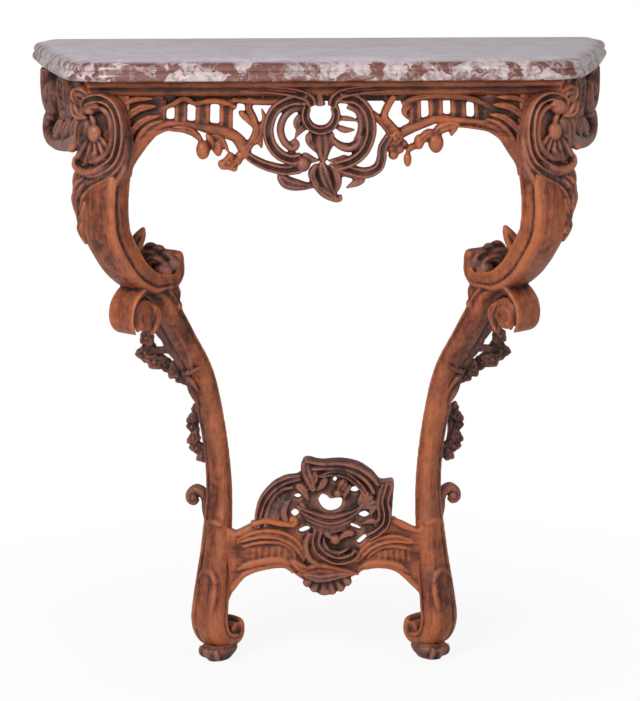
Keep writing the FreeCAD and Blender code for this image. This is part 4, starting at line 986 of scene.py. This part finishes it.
class PIER_OT_cartouche(bpy.types.Operator):
    """Carve the open scrollwork in the middle of the apron and the leaf tip below it"""

    bl_idname = "pier.cartouche"
    bl_label = "Cartouche"

    def crown(self, work):
        """Ridges that run in under the front rail, and the keyhole ring between them."""
        for points, section, height in (
            (((-150, 838, 3), (-95, 838, 5), (-50, 835, 7), (-23, 827, 7.5), (-16, 815, 6)), CHANNEL, 15),
            (((150, 840, 3), (95, 839, 5), (44, 836, 7), (17, 829, 7.5), (9, 814, 6)), CHANNEL, 15),
            (((-8, 840, 6), (-7, 827, 5), (-5, 815, 6)), LEAF, 10),
        ):
            work.stroke(points, section, height, 12)
        ring = spiral((-5.6, 803), (20.5, 20.5), (150, 390), 26)
        work.stroke([(u, v, 5.8) for u, v in ring], CHANNEL, 12, 12, steps=1)

    def left(self, work):
        """Scrolls and leaves on the left of the ring."""
        work.scroll([(-24, 823), (-46, 822), (-66, 810), (-75, 789), (-73, 768), (-62, 752), (-46, 744.5),
                     (-32, 746)], 7.5, CHANNEL, 13)
        work.scroll([(-26, 812), (-42, 811), (-54, 800), (-59, 784), (-55, 769), (-46, 760)], 5.2,
                    ROUND, 8, (0, 1), 6)
        work.leaf([(-29, 806), (-37, 792), (-33, 778)], 5.5, 8)
        work.leaf([(-22, 790), (-32, 784), (-40, 772)], 5, 8)

    def right(self, work):
        """Scrolls, leaves and a roll on the right of the ring."""
        work.scroll([(20, 826), (42, 823), (56, 808), (61, 787), (58, 768), (49, 752), (34, 741),
                     (14, 735)], 7.5, CHANNEL, 13)
        work.scroll([(30, 815), (43, 808), (48, 794), (47, 780), (42, 768)], 4.6, ROUND, 8)
        work.leaf([(16, 798), (30, 798), (46, 794)], 3.6, 8)
        work.leaf([(14, 788), (26, 783), (40, 783)], 4.5, 8)
        work.stroke([(8, 774, 2.5), (18, 763, 5), (32, 759, 6), (44, 765, 6), (49, 776, 4)], ROUND, 12, 8)

    def middle(self, work):
        """Leaves under the ring."""
        for points, half, height in (
            (((-4, 784), (-3, 762), (-2, 738)), 12, 11),
            (((-20, 780), (-20, 768), (-10, 752)), 6, 9),
            (((8, 782), (8, 768), (4, 752)), 5, 9),
        ):
            work.leaf(points, half, height)

    def fringe(self, work):
        """Outer bands along the lower edge, and the leaves that end them."""
        work.stroke([(-104, 750, 5), (-92, 742, 6), (-76, 735, 6.5), (-54, 730, 7), (-34, 733, 8)],
                    CHANNEL, 12, 10)
        work.bead(-30, 738, 11, 13, 2)
        work.stroke([(86, 775, 5), (77, 760, 6), (75, 743, 6.5), (69, 731, 6.5), (53, 725, 7),
                     (34, 729, 7), (18, 733, 6)], CHANNEL, 11, 10)
        work.leaf([(-30, 752), (-22, 745), (-8, 742)], 6, 9)
        work.leaf([(30, 748), (20, 742), (4, 742)], 6, 9)

    def tip(self):
        """Leaf tip that hangs in the middle."""
        tip = Carving(*TIP_PLANE)
        for points, half, height in (
            (((-62, 727), (-52, 714), (-34, 709), (-10, 708)), 9, 10),
            (((16, 726), (38, 726), (46, 716), (28, 705)), 9, 9),
            (((-5, 742), (-1, 724), (6, 706), (17, 689)), 9, 12),
            (((-11, 738), (-17, 724), (-8, 706), (10, 693)), 6, 10),
            (((6, 738), (15, 726), (17, 710), (13, 696)), 6, 10),
        ):
            tip.leaf(points, half, height)
        tip.stroke([(-16, 712, 4), (0, 699, 7), (13, 691, 5), (20, 690, 3), (20, 696, 2)], LEAF, 11, 8)
        return tip

    def execute(self, context):
        work = Carving(*CARTOUCHE_PLANE)
        for part in (self.crown, self.left, self.right, self.middle, self.fringe):
            part(work)
        finish_piece(work.piece("carved_cartouche"), "Dark wood", ["apron_cartouche"])
        finish_piece(self.tip().piece("carved_apron_tip"), "Dark wood", ["apron_pendant"])
        return {"FINISHED"}


class PIER_OT_corners(bpy.types.Operator):
    """Carve the shells on the corners, the leaves on the knees and the scrolls on the side rails"""

    bl_idname = "pier.corners"
    bl_label = "Corners"

    def shell(self, knob):
        """C-scroll that ends in a knob of a given radius, round a fluted shell, over a collar of leaves."""
        work = Carving(*SHELL_PLANE)
        work.board([(-30, 745), (-34, 780), (-26, 822), (6, 832), (24, 812), (30, 780), (41, 750),
                    (35, 732), (6, 726)], 22, -4)
        rim = [(20, 806, 4), (20, 819, 6), (8, 826, 7), (-9, 827, 7), (-25, 818, 7), (-34, 797, 7.5),
               (-34, 770, 7.5), (-25, 747, 7.5), (-6, 733, 7.5), (14, 727, 7), (32, 732, 5)]
        work.stroke(rim, CHANNEL, 14, 6)
        inner = [(12, 811, 4), (-4, 814, 5), (-16, 805, 5.5), (-21, 788, 6), (-20, 769, 6), (-10, 753, 6),
                 (6, 744, 6), (25, 744, 4)]
        work.stroke(inner, ROUND, 9, 6)
        work.bead(12, 812, knob, knob - 1, 5, 0.85)
        work.leaf([(-4, 816), (10, 818), (24, 808)], 6, knob, 5)
        work.bead(23, 744, 10, 8, -2)
        for ruffle, half in (
            (((34, 836), (22, 834), (6, 824)), 10),
            (((38, 822), (31, 806), (18, 800)), 9),
            (((36, 840), (32, 826), (20, 816)), 8),
        ):
            work.leaf(ruffle, half, 12, 3)
        work.bead(8, 780, 10.5, 8, 2, 1.2)
        work.leaf([(15, 806), (9, 796), (7, 780)], 3.6, 5, 1)
        work.bead(22, 787, 9, 7, 0, 1.5)
        work.fan((9, 786), (226, 322), 50, 6, 5.5, 8, 0, start=0.3)
        work.leaf([(20, 800), (30, 790), (33, 768), (28, 748)], 8, 9)
        work.leaf([(4, 760), (10, 748), (26, 740)], 6, 10)
        lip = [(-18, 740, 4), (2, 731, 8), (20, 728, 8.5), (36, 736, 6), (38, 748, 3)]
        work.stroke(lip, ROUND, 15, 6)
        collar = [(-41, 790, 1.5), (-40, 764, 4), (-31, 741, 7), (-10, 723, 8), (12, 712, 9), (27, 697, 9),
                  (33, 676, 4)]
        work.stroke(collar, LEAF, 13, 12)
        band = [(-40, 750, 1.5), (-35, 733, 4), (-22, 716, 6), (-4, 706, 7), (12, 696, 6), (20, 680, 2)]
        work.stroke(band, ROUND, 9, 10)
        work.leaf([(14, 722), (31, 708), (38, 684)], 10, 11, 4)
        work.leaf([(26, 706), (36, 694), (36, 668)], 8, 10, 4)
        return work

    def knee_leaf(self, flowers):
        """Foliage down the outer edge of a knee."""
        work = Carving(leg_point(207, 0), LEG_TURN)
        for points, half in (
            (((16, 740, 14), (30, 716, 15), (36, 690, 12)), 10),
            (((18, 712, 16), (31, 692, 14), (33, 664, 11)), 9),
            (((14, 690, 16), (27, 670, 14), (30, 644, 9)), 8),
            (((22, 664, 14), (30, 650, 11), (28, 628, 4)), 7),
        ):
            work.leaf(points, half, 7)
        for across, rise, size in flowers:
            work.flower(across, rise, size, 6, 13)
        for across, rise, lift in ((34, 700, 9), (34, 682, 8), (32, 664, 7), (31, 648, 4), (29, 634, 0)):
            work.bead(across, rise, 5, 7, lift)
        return work

    def bud(self):
        """Ruffled leaf in the hollow of the inward scroll."""
        work = Carving(leg_point(104, 0), LEG_TURN)
        ruffles = ((-20, 594, 11, -8), (-8, 598, 11, -2), (4, 600, 11, 4), (15, 602, 11, 12),
                   (-14, 586, 13, 4), (4, 590, 14, 2), (20, 598, 11, 20))
        for across, rise, size, lift in ruffles:
            work.bead(across, rise, size, size, lift)
        for points, half in (
            (((24, 602, 4), (14, 614, 2), (2, 617, 0)), 7),
            (((10, 602, 2), (0, 612, 0), (-12, 612, -2)), 7),
            (((-4, 598, 0), (-14, 606, -2), (-26, 602, -4)), 7),
            (((22, 592, 14), (8, 606, 12), (-10, 606, 8)), 8),
            (((12, 588, 16), (-6, 600, 12), (-24, 594, 6)), 8),
        ):
            work.leaf(points, half, 9)
        return work

    def side_drop(self):
        """Long scroll with foliage on the outer face of a side rail."""
        work = Carving(*SIDE_PLANE)
        ground = [(34, 846), (34, 786), (70, 762), (110, 753), (150, 746), (196, 741), (240, 740),
                  (282, 746), (289, 757), (280, 770), (256, 780), (254, 800), (262, 846)]
        work.board(ground, 14, 6)
        upper = [(284, 842), (288, 820), (282, 800), (262, 788), (240, 790), (228, 802)]
        work.scroll(upper, 12, ROUND, 18, (0, -1), 11, lift=6)
        work.bead(258, 810, 18, 20, 5)
        lower = [(258, 778), (284, 772), (296, 755), (282, 742), (240, 738), (190, 741), (140, 748),
                 (92, 757), (50, 768)]
        work.scroll(lower, 10, ROUND, 15, (1, 0), 11, lift=6)
        for points, half in (
            (((52, 794), (82, 772), (118, 760)), 12),
            (((112, 786), (144, 762), (184, 751)), 13),
            (((184, 776), (214, 756), (250, 749)), 12),
        ):
            work.leaf(points, half, 11, 10)
        work.leaf([(294, 838), (288, 828), (266, 822)], 10, 14, 5)
        for points, half in (
            (((50, 806), (112, 800), (176, 778)), 24),
            (((214, 838), (200, 806), (186, 766)), 26),
            (((40, 834), (70, 808), (96, 782)), 22),
            (((150, 842), (160, 812), (140, 784)), 22),
        ):
            work.foliage(points, half, 12, 5)
        for across, rise, size in ((156, 768, 11), (172, 786, 9), (130, 776, 9), (206, 760, 10),
                                   (110, 794, 9), (80, 780, 9)):
            work.bead(across, rise, size, 10, 7)
        return work

    def execute(self, context):
        # Painted highlights on the shell's bead, and on the right shell's knob
        bead_highlight = ((309, -170, 780), 15, 0.2)
        knob_highlight = ((315, -172, 812), 15, 0.6)
        for side, knob, painted_highlights, flowers in (
            ("left", 8, [bead_highlight], ((25, 694, 8), (26, 668, 7))),
            ("right", 11, [bead_highlight, knob_highlight], ((26, 690, 9), (25, 668, 10), (24, 648, 8))),
        ):
            jobs = (
                ("corner_shell", self.shell(knob), "Worn wood", painted_highlights),
                ("knee_leaf", self.knee_leaf(flowers), "Worn wood", ()),
                ("knee_bud", self.bud(), "Deep wood", ()),
                ("side_drop", self.side_drop(), "Dark wood", ()),
            )
            for name, work, stuff, shade_and_highlight_spots in jobs:
                item = work.piece("carved_" + side + "_" + name, side == "left", shade_and_highlight_spots=shade_and_highlight_spots)
                finish_piece(item, stuff, [side + "_" + name])
        return {"FINISHED"}


class PIER_OT_leg_carving(bpy.types.Operator):
    """Carve the garlands, bud drops, curls and feet on the lower legs"""

    bl_idname = "pier.leg_carving"
    bl_label = "Leg carving"

    def garland(self):
        """Swag of flowers beside the lower leg, and the leaves that tie it to the leg."""
        work = Carving(*GARLAND_PLANE)
        heads = ((246, 490, 10), (253, 474, 13), (256, 451, 15), (242, 440, 15), (228, 436, 13),
                 (215, 427, 12), (203, 417, 11))
        for index, (across, rise, size) in enumerate(heads):
            work.flower(across, rise, size, 8, (index % 2) * 4, 31.0 * index)
        for points, section in (
            (((228, 508, 6, 42), (240, 496, 6, 22), (249, 480, 5, 8), (254, 452, 5, 0)), ROUND),
            (((256, 446, 5, 0), (240, 439, 5, 0), (222, 431, 5, 0), (202, 415, 6, 0), (186, 404, 6, 0)),
             ROUND),
            (((250, 454, 5, 0), (236, 456, 5, 6), (220, 460, 6, 18), (204, 466, 6, 30)), LEAF),
        ):
            work.stroke(points, section, 7, 6)
        tie = work.on_plane(leg_point(40, 0), LEG_TURN)
        for points, half in (
            (((20, 424, -2), (-2, 432, 5), (-25, 442, 7)), 4),
            (((18, 430, 1), (4, 418, 0), (-4, 402, -8)), 4),
            (((46, 510, 34), (40, 494, 31), (34, 478, 27)), 8),
            (((34, 508, 40), (32, 488, 31), (25, 466, 20)), 9),
            (((28, 482, 28), (26, 460, 16), (22, 436, 0)), 8),
            (((23, 452, 10), (22, 430, -4), (18, 404, -18)), 7),
            (((21, 424, -8), (20, 402, -19), (16, 376, -28)), 5),
            (((10, 425, 0), (9, 399, -8), (4, 376, -18)), 4.5),
            (((16, 446, 7), (6, 462, 15), (-2, 486, 28)), 5),
            (((20, 462, 14), (12, 478, 24), (8, 502, 37)), 5),
            (((-6, 430, 4), (-9, 454, 13), (-12, 478, 25)), 4.5),
        ):
            tie.leaf(points, half, 5)
        return work

    def bud_drop(self, shift):
        """Bellflowers that hang down the outer edge of the lower leg, shifted outward."""
        work = Carving(*BUD_PLANE)
        heads = ((188, 364, 8), (192, 352, 10), (194, 338, 10), (191, 322, 11), (187, 307, 12),
                 (179, 296, 10))
        for index, (across, rise, size) in enumerate(heads):
            work.flower(across + shift, rise, size, 7, (index % 2) * 3, 36.0 * index)
        stem = [(174, 382, 6, 20), (181, 368, 6, 8), (189, 346, 4, 0), (190, 326, 4, 0), (185, 306, 5, 0),
                (164, 288, 6, 6)]
        work.stroke(stem, ROUND, 7, 6)
        work.stroke([(190, 350, 6, 0), (182, 354, 9, 6), (170, 360, 11, 16)], LEAF, 7, 6)
        work.stroke([(188, 308, 6, 0), (178, 305, 9, 2), (164, 304, 11, 7)], LEAF, 7, 6)
        return work

    def curl(self):
        """Small scroll that springs from the outer edge of the leg and rolls over."""
        work = Carving(*CURL_PLANE)
        path = [(160, 184, 6, 10), (167, 200, 7, 6), (172, 216, 7, 2), (174, 230, 6.5, 0),
                (179, 240, 7, 0), (188, 244, 7, 0), (196, 238, 6.5, 0), (197, 229, 6, 0), (191, 225, 5, 0),
                (187, 230, 4, 0)]
        work.stroke(path, ROUND, 9, 6)
        work.bead(191, 233, 7, 10)
        return work

    def foot(self):
        """Pad with three leaves under the foot scroll."""
        work = Carving(*PAD_PLANE)
        turn = np.radians(np.linspace(0, 360, 40, endpoint=False))
        shape = ((0.4, 13, 19), (4, 15.5, 22), (9, 20, 26), (14, 23.5, 28.5), (18, 24.5, 29), (21, 23, 26),
                 (25, 20, 22))
        work.rings([[work.at(a * math.cos(t), z, b * math.sin(t)) for t in turn] for z, a, b in shape])
        for across, lift in ((-13, 21), (0, 25), (13, 21)):
            work.leaf([(across * 0.7, 3, -6), (across, 12, 1), (across * 1.2, 22, 2)], 7, 4, lift)
        return work

    def execute(self, context):
        for side, shift in (("left", 0), ("right", 6)):
            jobs = (
                ("garland", self.garland(), "Deep wood"),
                ("bellflower_drop", self.bud_drop(shift), "Deep wood"),
                ("leg_curl", self.curl(), "Dark wood"),
                ("foot_pad", self.foot(), "Deep wood"),
            )
            for name, work, stuff in jobs:
                item = work.piece("carved_" + side + "_" + name, side == "left", FINE_VOXEL)
                finish_piece(item, stuff, [side + "_" + name])
        return {"FINISHED"}


class PIER_OT_stretcher(bpy.types.Operator):
    """Carve the stretcher, the pierced shell on it and the small shell below"""

    bl_idname = "pier.stretcher"
    bl_label = "Stretcher"

    def arm(self, work, front, rim, fillet, ribs, low, lean, roll, edge):
        """Rim and fillet over a row of ribs, with a roll and an edge below them."""
        work.stroke(rim, CHANNEL, 6, lift=front)
        work.stroke(fillet, ROUND, 3.5, lift=front)
        for across in ribs:
            rib = [(across, low, 2.6), (across + lean / 2, low + 7, 3), (across + lean, low + 14, 2.6)]
            work.stroke(rib, ROUND, 1.2, lift=front)
        work.stroke(roll, ROUND, 4.5, lift=front)
        work.stroke(edge, ROUND, 3, lift=front)

    def bar(self):
        """Two arms with ribbed panels, and leaves across the middle."""
        work = Carving(*BAR_PLANE)
        front = 8
        work.board([(-141, 80), (-141, 190), (-126, 191), (-107, 200), (-92, 208), (-50, 204), (-36, 184),
                    (0, 168), (40, 162), (64, 172), (76, 196), (97, 210), (114, 200), (133, 194),
                    (144, 193), (144, 78), (140, 90), (127, 114), (104, 132), (79, 138), (60, 135),
                    (42, 125), (20, 116), (-20, 116), (-36, 124), (-46, 132), (-56, 139), (-84, 137),
                    (-113, 126), (-130, 106)], 20, front)
        rim = [(-124, 176, 1), (-116, 182, 5), (-92, 189, 7), (-66, 188, 7.5), (-45, 178, 7.5),
               (-32, 162, 6), (-29, 148, 1)]
        fillet = [(-116, 170, 1), (-90, 176.5, 2.6), (-62, 175, 2.6), (-46, 165, 2.4), (-41, 152, 1)]
        roll = [(-124, 136, 1), (-112, 142, 5), (-88, 148, 6), (-62, 149.5, 6), (-42, 140, 1)]
        edge = [(-134, 106, 4), (-114, 129, 4), (-84, 139.5, 4), (-57, 141.5, 4), (-44, 131, 2)]
        self.arm(work, front, rim, fillet, np.linspace(-102, -56, 6), 154, 1, roll, edge)
        work.scroll([(-104, 204), (-84, 209), (-64, 205), (-46, 203)], 5, ROUND, 8, (0, 1), 6, lift=front)
        work.stroke([(-130, 188, 5), (-130, 165, 6), (-130, 136, 5)], ROUND, 2, lift=front - 1)
        rim = [(44, 146, 1), (50, 154, 5), (64, 169, 6.5), (82, 178, 7), (102, 181, 6.5), (122, 177, 4),
               (128, 174, 1)]
        fillet = [(62, 154, 1), (78, 166, 2.6), (96, 169.5, 2.6), (124, 165, 1)]
        roll = [(50, 138, 1), (62, 143, 5), (82, 145, 6), (104, 141, 6), (122, 131, 1)]
        edge = [(136, 106, 4), (106, 134, 4), (80, 140.5, 4), (58, 136, 2)]
        self.arm(work, front, rim, fillet, np.linspace(80, 122, 6), 148, -1, roll, edge)
        work.stroke([(94, 209, 1), (104, 205, 5), (118, 198, 5.5), (138, 190, 2)], ROUND, 5, lift=front - 1)
        work.leaf([(-40, 128), (-10, 138), (20, 134), (50, 128)], 10, 8, front)
        work.leaf([(-48, 150), (-30, 138), (-8, 132)], 8, 8, front)
        return work

    def crest_board(self):
        """Pierced board of the shell, with a heart-shaped hole, slits and ovals."""
        heart = [(-8, 240), (-3, 247), (4, 245), (9, 240), (17, 241), (25, 241), (26, 233), (22, 225),
                 (10, 220.5), (0, 224), (-6, 232)]
        slits = [
            [(-37, 195), (-24, 200), (-20, 194), (-33, 189)],
            [(37, 205), (50, 199), (53, 193), (39, 198)],
            [(46, 177), (58, 187), (63, 184), (51, 172)],
        ]
        ovals = []
        for across, rise, wide, tall in (
            (-37, 244, 6.5, 4),
            (-41, 219, 6.5, 6.5),
            (16, 268, 3.5, 5),
            (44.5, 253, 9, 5),
            (58, 216, 9, 5.5),
        ):
            ends = [(across + wide, rise), (across, rise + tall)]
            ovals.append([*ends, (across - wide, rise), (across, rise - tall)])
        work = Carving(*CREST_PLANE)
        work.board([(-98, 196), (-96, 212), (-90, 238), (-76, 261), (-56, 273), (-38, 276), (-29, 284),
                    (-30, 297), (-22, 301), (-4, 297), (24, 298), (49, 293), (69, 280), (81, 267),
                    (99, 267), (99, 244), (97, 212), (98, 196), (76, 184), (62, 168), (40, 154), (0, 160),
                    (-40, 182), (-60, 192)], 14, 6, [heart, *slits, *ovals])
        return work

    def crest_left(self, work):
        """Rim, roll and leaves on the left of the shell."""
        work.stroke([(-96, 198, 4), (-93, 220, 5.5), (-86, 241, 6), (-71, 259, 6), (-52, 269, 5.5),
                     (-34, 272, 4)], CHANNEL, 10, 4, 5)
        work.stroke([(-84, 200, 3), (-82, 220, 4), (-74, 240, 4), (-60, 254, 4), (-44, 258, 3)],
                    ROUND, 7, 4, 5)
        work.foliage([(-70, 202), (-66, 222), (-56, 246)], 14, 7, 5)
        for points, half, height in (
            (((-52, 204), (-58, 222), (-48, 240)), 6, 8),
            (((-40, 262), (-30, 254), (-22, 238)), 7, 8),
            (((-34, 236), (-28, 226), (-18, 220)), 5, 7),
        ):
            work.leaf(points, half, height, 6)

    def crest_top(self, work):
        """Rolls over the top of the shell, and the leaves under them."""
        for points, section, height in (
            (((-27, 297, 3), (-2, 293, 4), (26, 293, 4.5), (50, 286, 4.5), (68, 273, 4.5), (78, 260, 3)),
             ROUND, 12),
            (((-16, 285, 3), (6, 286, 4), (28, 285, 4.5), (48, 277, 4.5), (63, 264, 4), (72, 248, 3)),
             ROUND, 10),
            (((-6, 274, 2.5), (10, 278, 4), (30, 276, 4.6), (45, 266, 4.6), (57, 252, 4.4), (62, 242, 3)),
             CHANNEL, 9),
            (((-26, 295, 6), (-25, 282, 8), (-20, 268, 8), (-14, 252, 4)), LEAF, 10),
        ):
            work.stroke(points, section, height, 4, 6)
        for points, half, height in (
            (((-12, 282), (-14, 268), (-22, 254)), 6, 9),
            (((32, 270), (26, 260), (18, 246)), 8, 10),
            (((38, 262), (32, 252), (28, 240)), 5, 9),
        ):
            work.leaf(points, half, height, 6)
        work.bead(20, 249, 7, 10, 6)
        work.leaf([(4, 274), (-2, 262), (-10, 252)], 6, 8, 6)

    def crest_bowl(self, work):
        """Lips of the bowl under the heart-shaped hole."""
        for points, section, height in (
            (((-40, 232, 1), (-26, 222, 5), (8, 211, 7), (40, 220, 5), (56, 232, 1)), CHANNEL, 16),
            (((-30, 216, 1), (-16, 208, 6), (8, 202, 8), (32, 207, 6), (44, 214, 1)), ROUND, 11),
            (((-26, 205, 1), (-12, 198, 4), (8, 194, 5), (28, 198, 4), (38, 204, 1)), LEAF, 10),
        ):
            work.stroke(points, section, height, 4, 5)

    def crest_right(self, work):
        """Long scroll, roll and flutes on the right of the shell."""
        work.scroll([(94, 264), (90, 250), (87, 236), (90, 219), (87, 203), (75, 191), (62, 184)], 6.5,
                    CHANNEL, 13, lift=5)
        work.stroke([(84, 262, 2), (79, 248, 3.5), (77, 232, 4), (79, 214, 3.5), (72, 200, 2)],
                    ROUND, 9, 4, 5)
        work.fan((46, 226), (5, 70), 30, 5, 4, 7, 6, start=0.2)
        work.leaf([(76, 206), (66, 208), (54, 203)], 5, 8, 6)
        work.leaf([(74, 228), (69, 224), (66, 214)], 5, 8, 6)

    def crest_foot(self, work):
        """Round scroll at the foot of the shell, with its eye and leaves."""
        work.scroll([(-8, 198), (-12, 177), (-2, 161), (18, 151.5), (38, 155), (48, 164)], 7, CHANNEL, 14,
                    lift=7)
        work.stroke([(0, 190, 1), (0, 176, 3), (8, 165, 3.5), (22, 162, 3.5), (36, 168, 1)], ROUND, 9, 4, 7)
        work.stroke([(-20, 192, 4), (-26, 174, 5), (-21, 154, 5), (-6, 142, 3)], ROUND, 9, 3, 9)
        work.bead(16, 181, 8, 10, 8)
        work.leaf([(44, 190), (32, 190), (20, 180)], 6, 10, 8)
        work.leaf([(-2, 196), (6, 188), (14, 182)], 5, 10, 8)

    def crest(self):
        """Pierced shell with a bowl and scrolls round it."""
        work = self.crest_board()
        for part in (self.crest_left, self.crest_top, self.crest_bowl, self.crest_right, self.crest_foot):
            part(work)
        return work

    def base(self):
        """Small ruffled shell under the bar."""
        work = Carving(*CREST_PLANE)
        work.board([(-30, 128), (-25, 112), (-14, 103), (0, 97), (14, 102), (28, 111), (40, 128),
                    (20, 136), (-10, 136)], 18, 7)
        work.fan((4, 142), (222, 320), 44, 6, 6.5, 8, 6, start=0.25)
        work.leaf([(-32, 130), (-6, 124), (22, 128), (44, 130)], 8, 10, 8)
        work.bead(1, 104, 12, 9, 5, 0.6)
        return work

    def execute(self, context):
        # Spots paint shade at the ends and the middle of the bar and on the top and left of the shell, and
        # paint highlights in the bowl, on the right scroll, the left roll, the eye and the small shell
        jobs = (
            ("stretcher", self.bar(), "Bar wood", [
                ((-128, -12, 165), 16, -0.25), ((132, -12, 160), 14, -0.25), ((-20, -14, 134), 22, -0.25),
                ((20, -14, 132), 22, -0.25)]),
            ("stretcher_crest", self.crest(), "Dark wood", [
                ((10, -10, 292), 34, -0.14), ((-68, -10, 240), 26, -0.14), ((8, -18, 208), 24, 0.2),
                ((92, -12, 256), 14, 0.24), ((60, -10, 238), 12, 0.2), ((-72, -10, 202), 14, 0.2),
                ((16, -14, 182), 9, 0.2)]),
            ("stretcher_pendant", self.base(), "Dark wood", [((2, -8, 100), 12, 0.2)]),
        )
        for name, work, stuff, shade_and_highlight_spots in jobs:
            finish_piece(work.piece("carved_" + name, shade_and_highlight_spots=shade_and_highlight_spots), stuff, [name])
        return {"FINISHED"}


# Studio round the table, in metres: the floor's size, and the distances between which it fades to white
FLOOR_SIZE = 14
FADE_START = 0.25
FADE_END = 0.9
FLOOR_GREY = (0.86, 0.86, 0.86, 1)
WHITE = (1, 1, 1, 1)
WORLD_STRENGTH = 0.45

# Lamps: name, place and size in metres, and share of the key light's power
LAMPS = (
    ("key", (-1.4, -2.2, 2.2), 1.3, 1.0),
    ("fill", (2.2, -2.4, 1.4), 1.6, 0.30),
    ("low", (0.0, -2.6, 0.4), 1.4, 0.15),
)
LAMP_AIM = (0, 0, 0.5)

# Camera of the photograph: place in metres, angles, lens and sensor in millimetres, picture in pixels
CAMERA_PLACE = (-0.063, -3.400, 1.1249)
CAMERA_YAW = math.radians(0.98)
CAMERA_DIP = math.radians(11.16)
CAMERA_ROLL = math.radians(-0.18)
CAMERA_LENS = 125.84
CAMERA_SENSOR = 36.0
PICTURE_WIDTH = 640
PICTURE_HEIGHT = 701


class PIER_OT_stage(bpy.types.Operator):
    """Set the floor, the lamps and the camera"""

    bl_idname = "pier.stage"
    bl_label = "Stage"

    def floor(self, context):
        """White floor that takes shadows near the table and fades out round it."""
        tree, shader = new_material("Studio floor")
        feed(tree, shader, {"Base Color": FLOOR_GREY, "Roughness": 0.9, "Specular IOR Level": 0.0})
        place = node(tree, "ShaderNodeTexCoord").outputs["Object"]
        far = node(tree, "ShaderNodeVectorMath", {0: place}, operation="LENGTH").outputs["Value"]
        fade = remap(tree, far, FADE_START, FADE_END, 0.88, 1.0)
        seen = maths(tree, "MULTIPLY", fade, node(tree, "ShaderNodeLightPath").outputs["Is Camera Ray"])
        glow = node(tree, "ShaderNodeEmission", {"Color": WHITE, "Strength": 1.0})
        both = node(tree, "ShaderNodeMixShader", {0: seen, 1: shader.outputs[0], 2: glow.outputs[0]})
        feed(tree, tree.nodes["Material Output"], {"Surface": both.outputs[0]})
        bpy.ops.mesh.primitive_plane_add(size=FLOOR_SIZE, location=(0, 0, 0))
        floor = context.active_object
        floor.name = "studio_floor"
        floor.data.materials.append(bpy.data.materials["Studio floor"])

    def lamps(self, context):
        """Soft lamps that face the middle of the table."""
        for name, place, size, share in LAMPS:
            bpy.ops.object.light_add(type="AREA", location=place)
            lamp = context.active_object
            lamp.name = name
            lamp.data.size = size
            lamp.data.energy = context.scene.pier_table.key_power * share
            aim = Vector(LAMP_AIM) - Vector(place)
            lamp.rotation_euler = aim.to_track_quat("-Z", "Y").to_euler()

    def world(self, context):
        """White backdrop that lights the table less than it shows."""
        world = bpy.data.worlds.new("Studio")
        context.scene.world = world
        world.use_nodes = True
        tree = world.node_tree
        seen = tree.nodes["Background"]
        feed(tree, seen, {"Color": WHITE})
        lit = node(tree, "ShaderNodeBackground", {"Color": WHITE, "Strength": WORLD_STRENGTH})
        path = node(tree, "ShaderNodeLightPath").outputs["Is Camera Ray"]
        blend = node(tree, "ShaderNodeMixShader", {0: path, 1: lit.outputs[0], 2: seen.outputs[0]})
        feed(tree, tree.nodes["World Output"], {"Surface": blend.outputs[0]})

    def camera(self, context):
        """Camera that was fitted to the photograph."""
        view = bpy.data.cameras.new("photo_camera")
        camera = bpy.data.objects.new("photo_camera", view)
        context.collection.objects.link(camera)
        view.sensor_fit = "AUTO"
        view.sensor_width = CAMERA_SENSOR
        view.lens = CAMERA_LENS
        forward = Vector((math.sin(CAMERA_YAW), math.cos(CAMERA_YAW), 0))
        forward = forward * math.cos(CAMERA_DIP) - Vector((0, 0, math.sin(CAMERA_DIP)))
        turn = forward.to_track_quat("-Z", "Y") @ Matrix.Rotation(CAMERA_ROLL, 3, "Z").to_quaternion()
        camera.rotation_euler = turn.to_euler()
        camera.location = CAMERA_PLACE
        context.scene.camera = camera

    def execute(self, context):
        self.floor(context)
        self.lamps(context)
        self.world(context)
        self.camera(context)
        context.scene.render.resolution_x = PICTURE_WIDTH
        context.scene.render.resolution_y = PICTURE_HEIGHT
        context.scene.view_settings.view_transform = "Standard"
        return {"FINISHED"}


class PIER_PT_panel(bpy.types.Panel):
    """List of the steps and the settings"""

    bl_idname = "PIER_PT_panel"
    bl_label = "Pier table"
    bl_space_type = "VIEW_3D"
    bl_region_type = "UI"
    bl_category = "Pier table"

    def draw(self, context):
        settings = context.scene.pier_table
        for name in PierTableSettings.__annotations__:
            self.layout.prop(settings, name)
        for step in STEPS:
            self.layout.operator(step.bl_idname)


STEPS = (
    PIER_OT_materials,
    PIER_OT_slab,
    PIER_OT_legs,
    PIER_OT_front_rail,
    PIER_OT_aprons,
    PIER_OT_cartouche,
    PIER_OT_corners,
    PIER_OT_leg_carving,
    PIER_OT_stretcher,
    PIER_OT_stage,
)
CLASSES = (PierTableSettings, *STEPS, PIER_PT_panel)


def register():
    """Add the classes and the settings."""
    for kind in CLASSES:
        bpy.utils.register_class(kind)
    bpy.types.Scene.pier_table = bpy.props.PointerProperty(type=PierTableSettings)


def unregister():
    """Take the classes and the settings away."""
    del bpy.types.Scene.pier_table
    for kind in reversed(CLASSES):
        bpy.utils.unregister_class(kind)


def main():
    """Make every piece in order."""
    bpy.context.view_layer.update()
    register()
    bpy.ops.object.select_all(action="DESELECT")
    for step in STEPS:
        group, name = step.bl_idname.split(".")
        getattr(getattr(bpy.ops, group), name)()


if __name__ == "__main__":
    main()
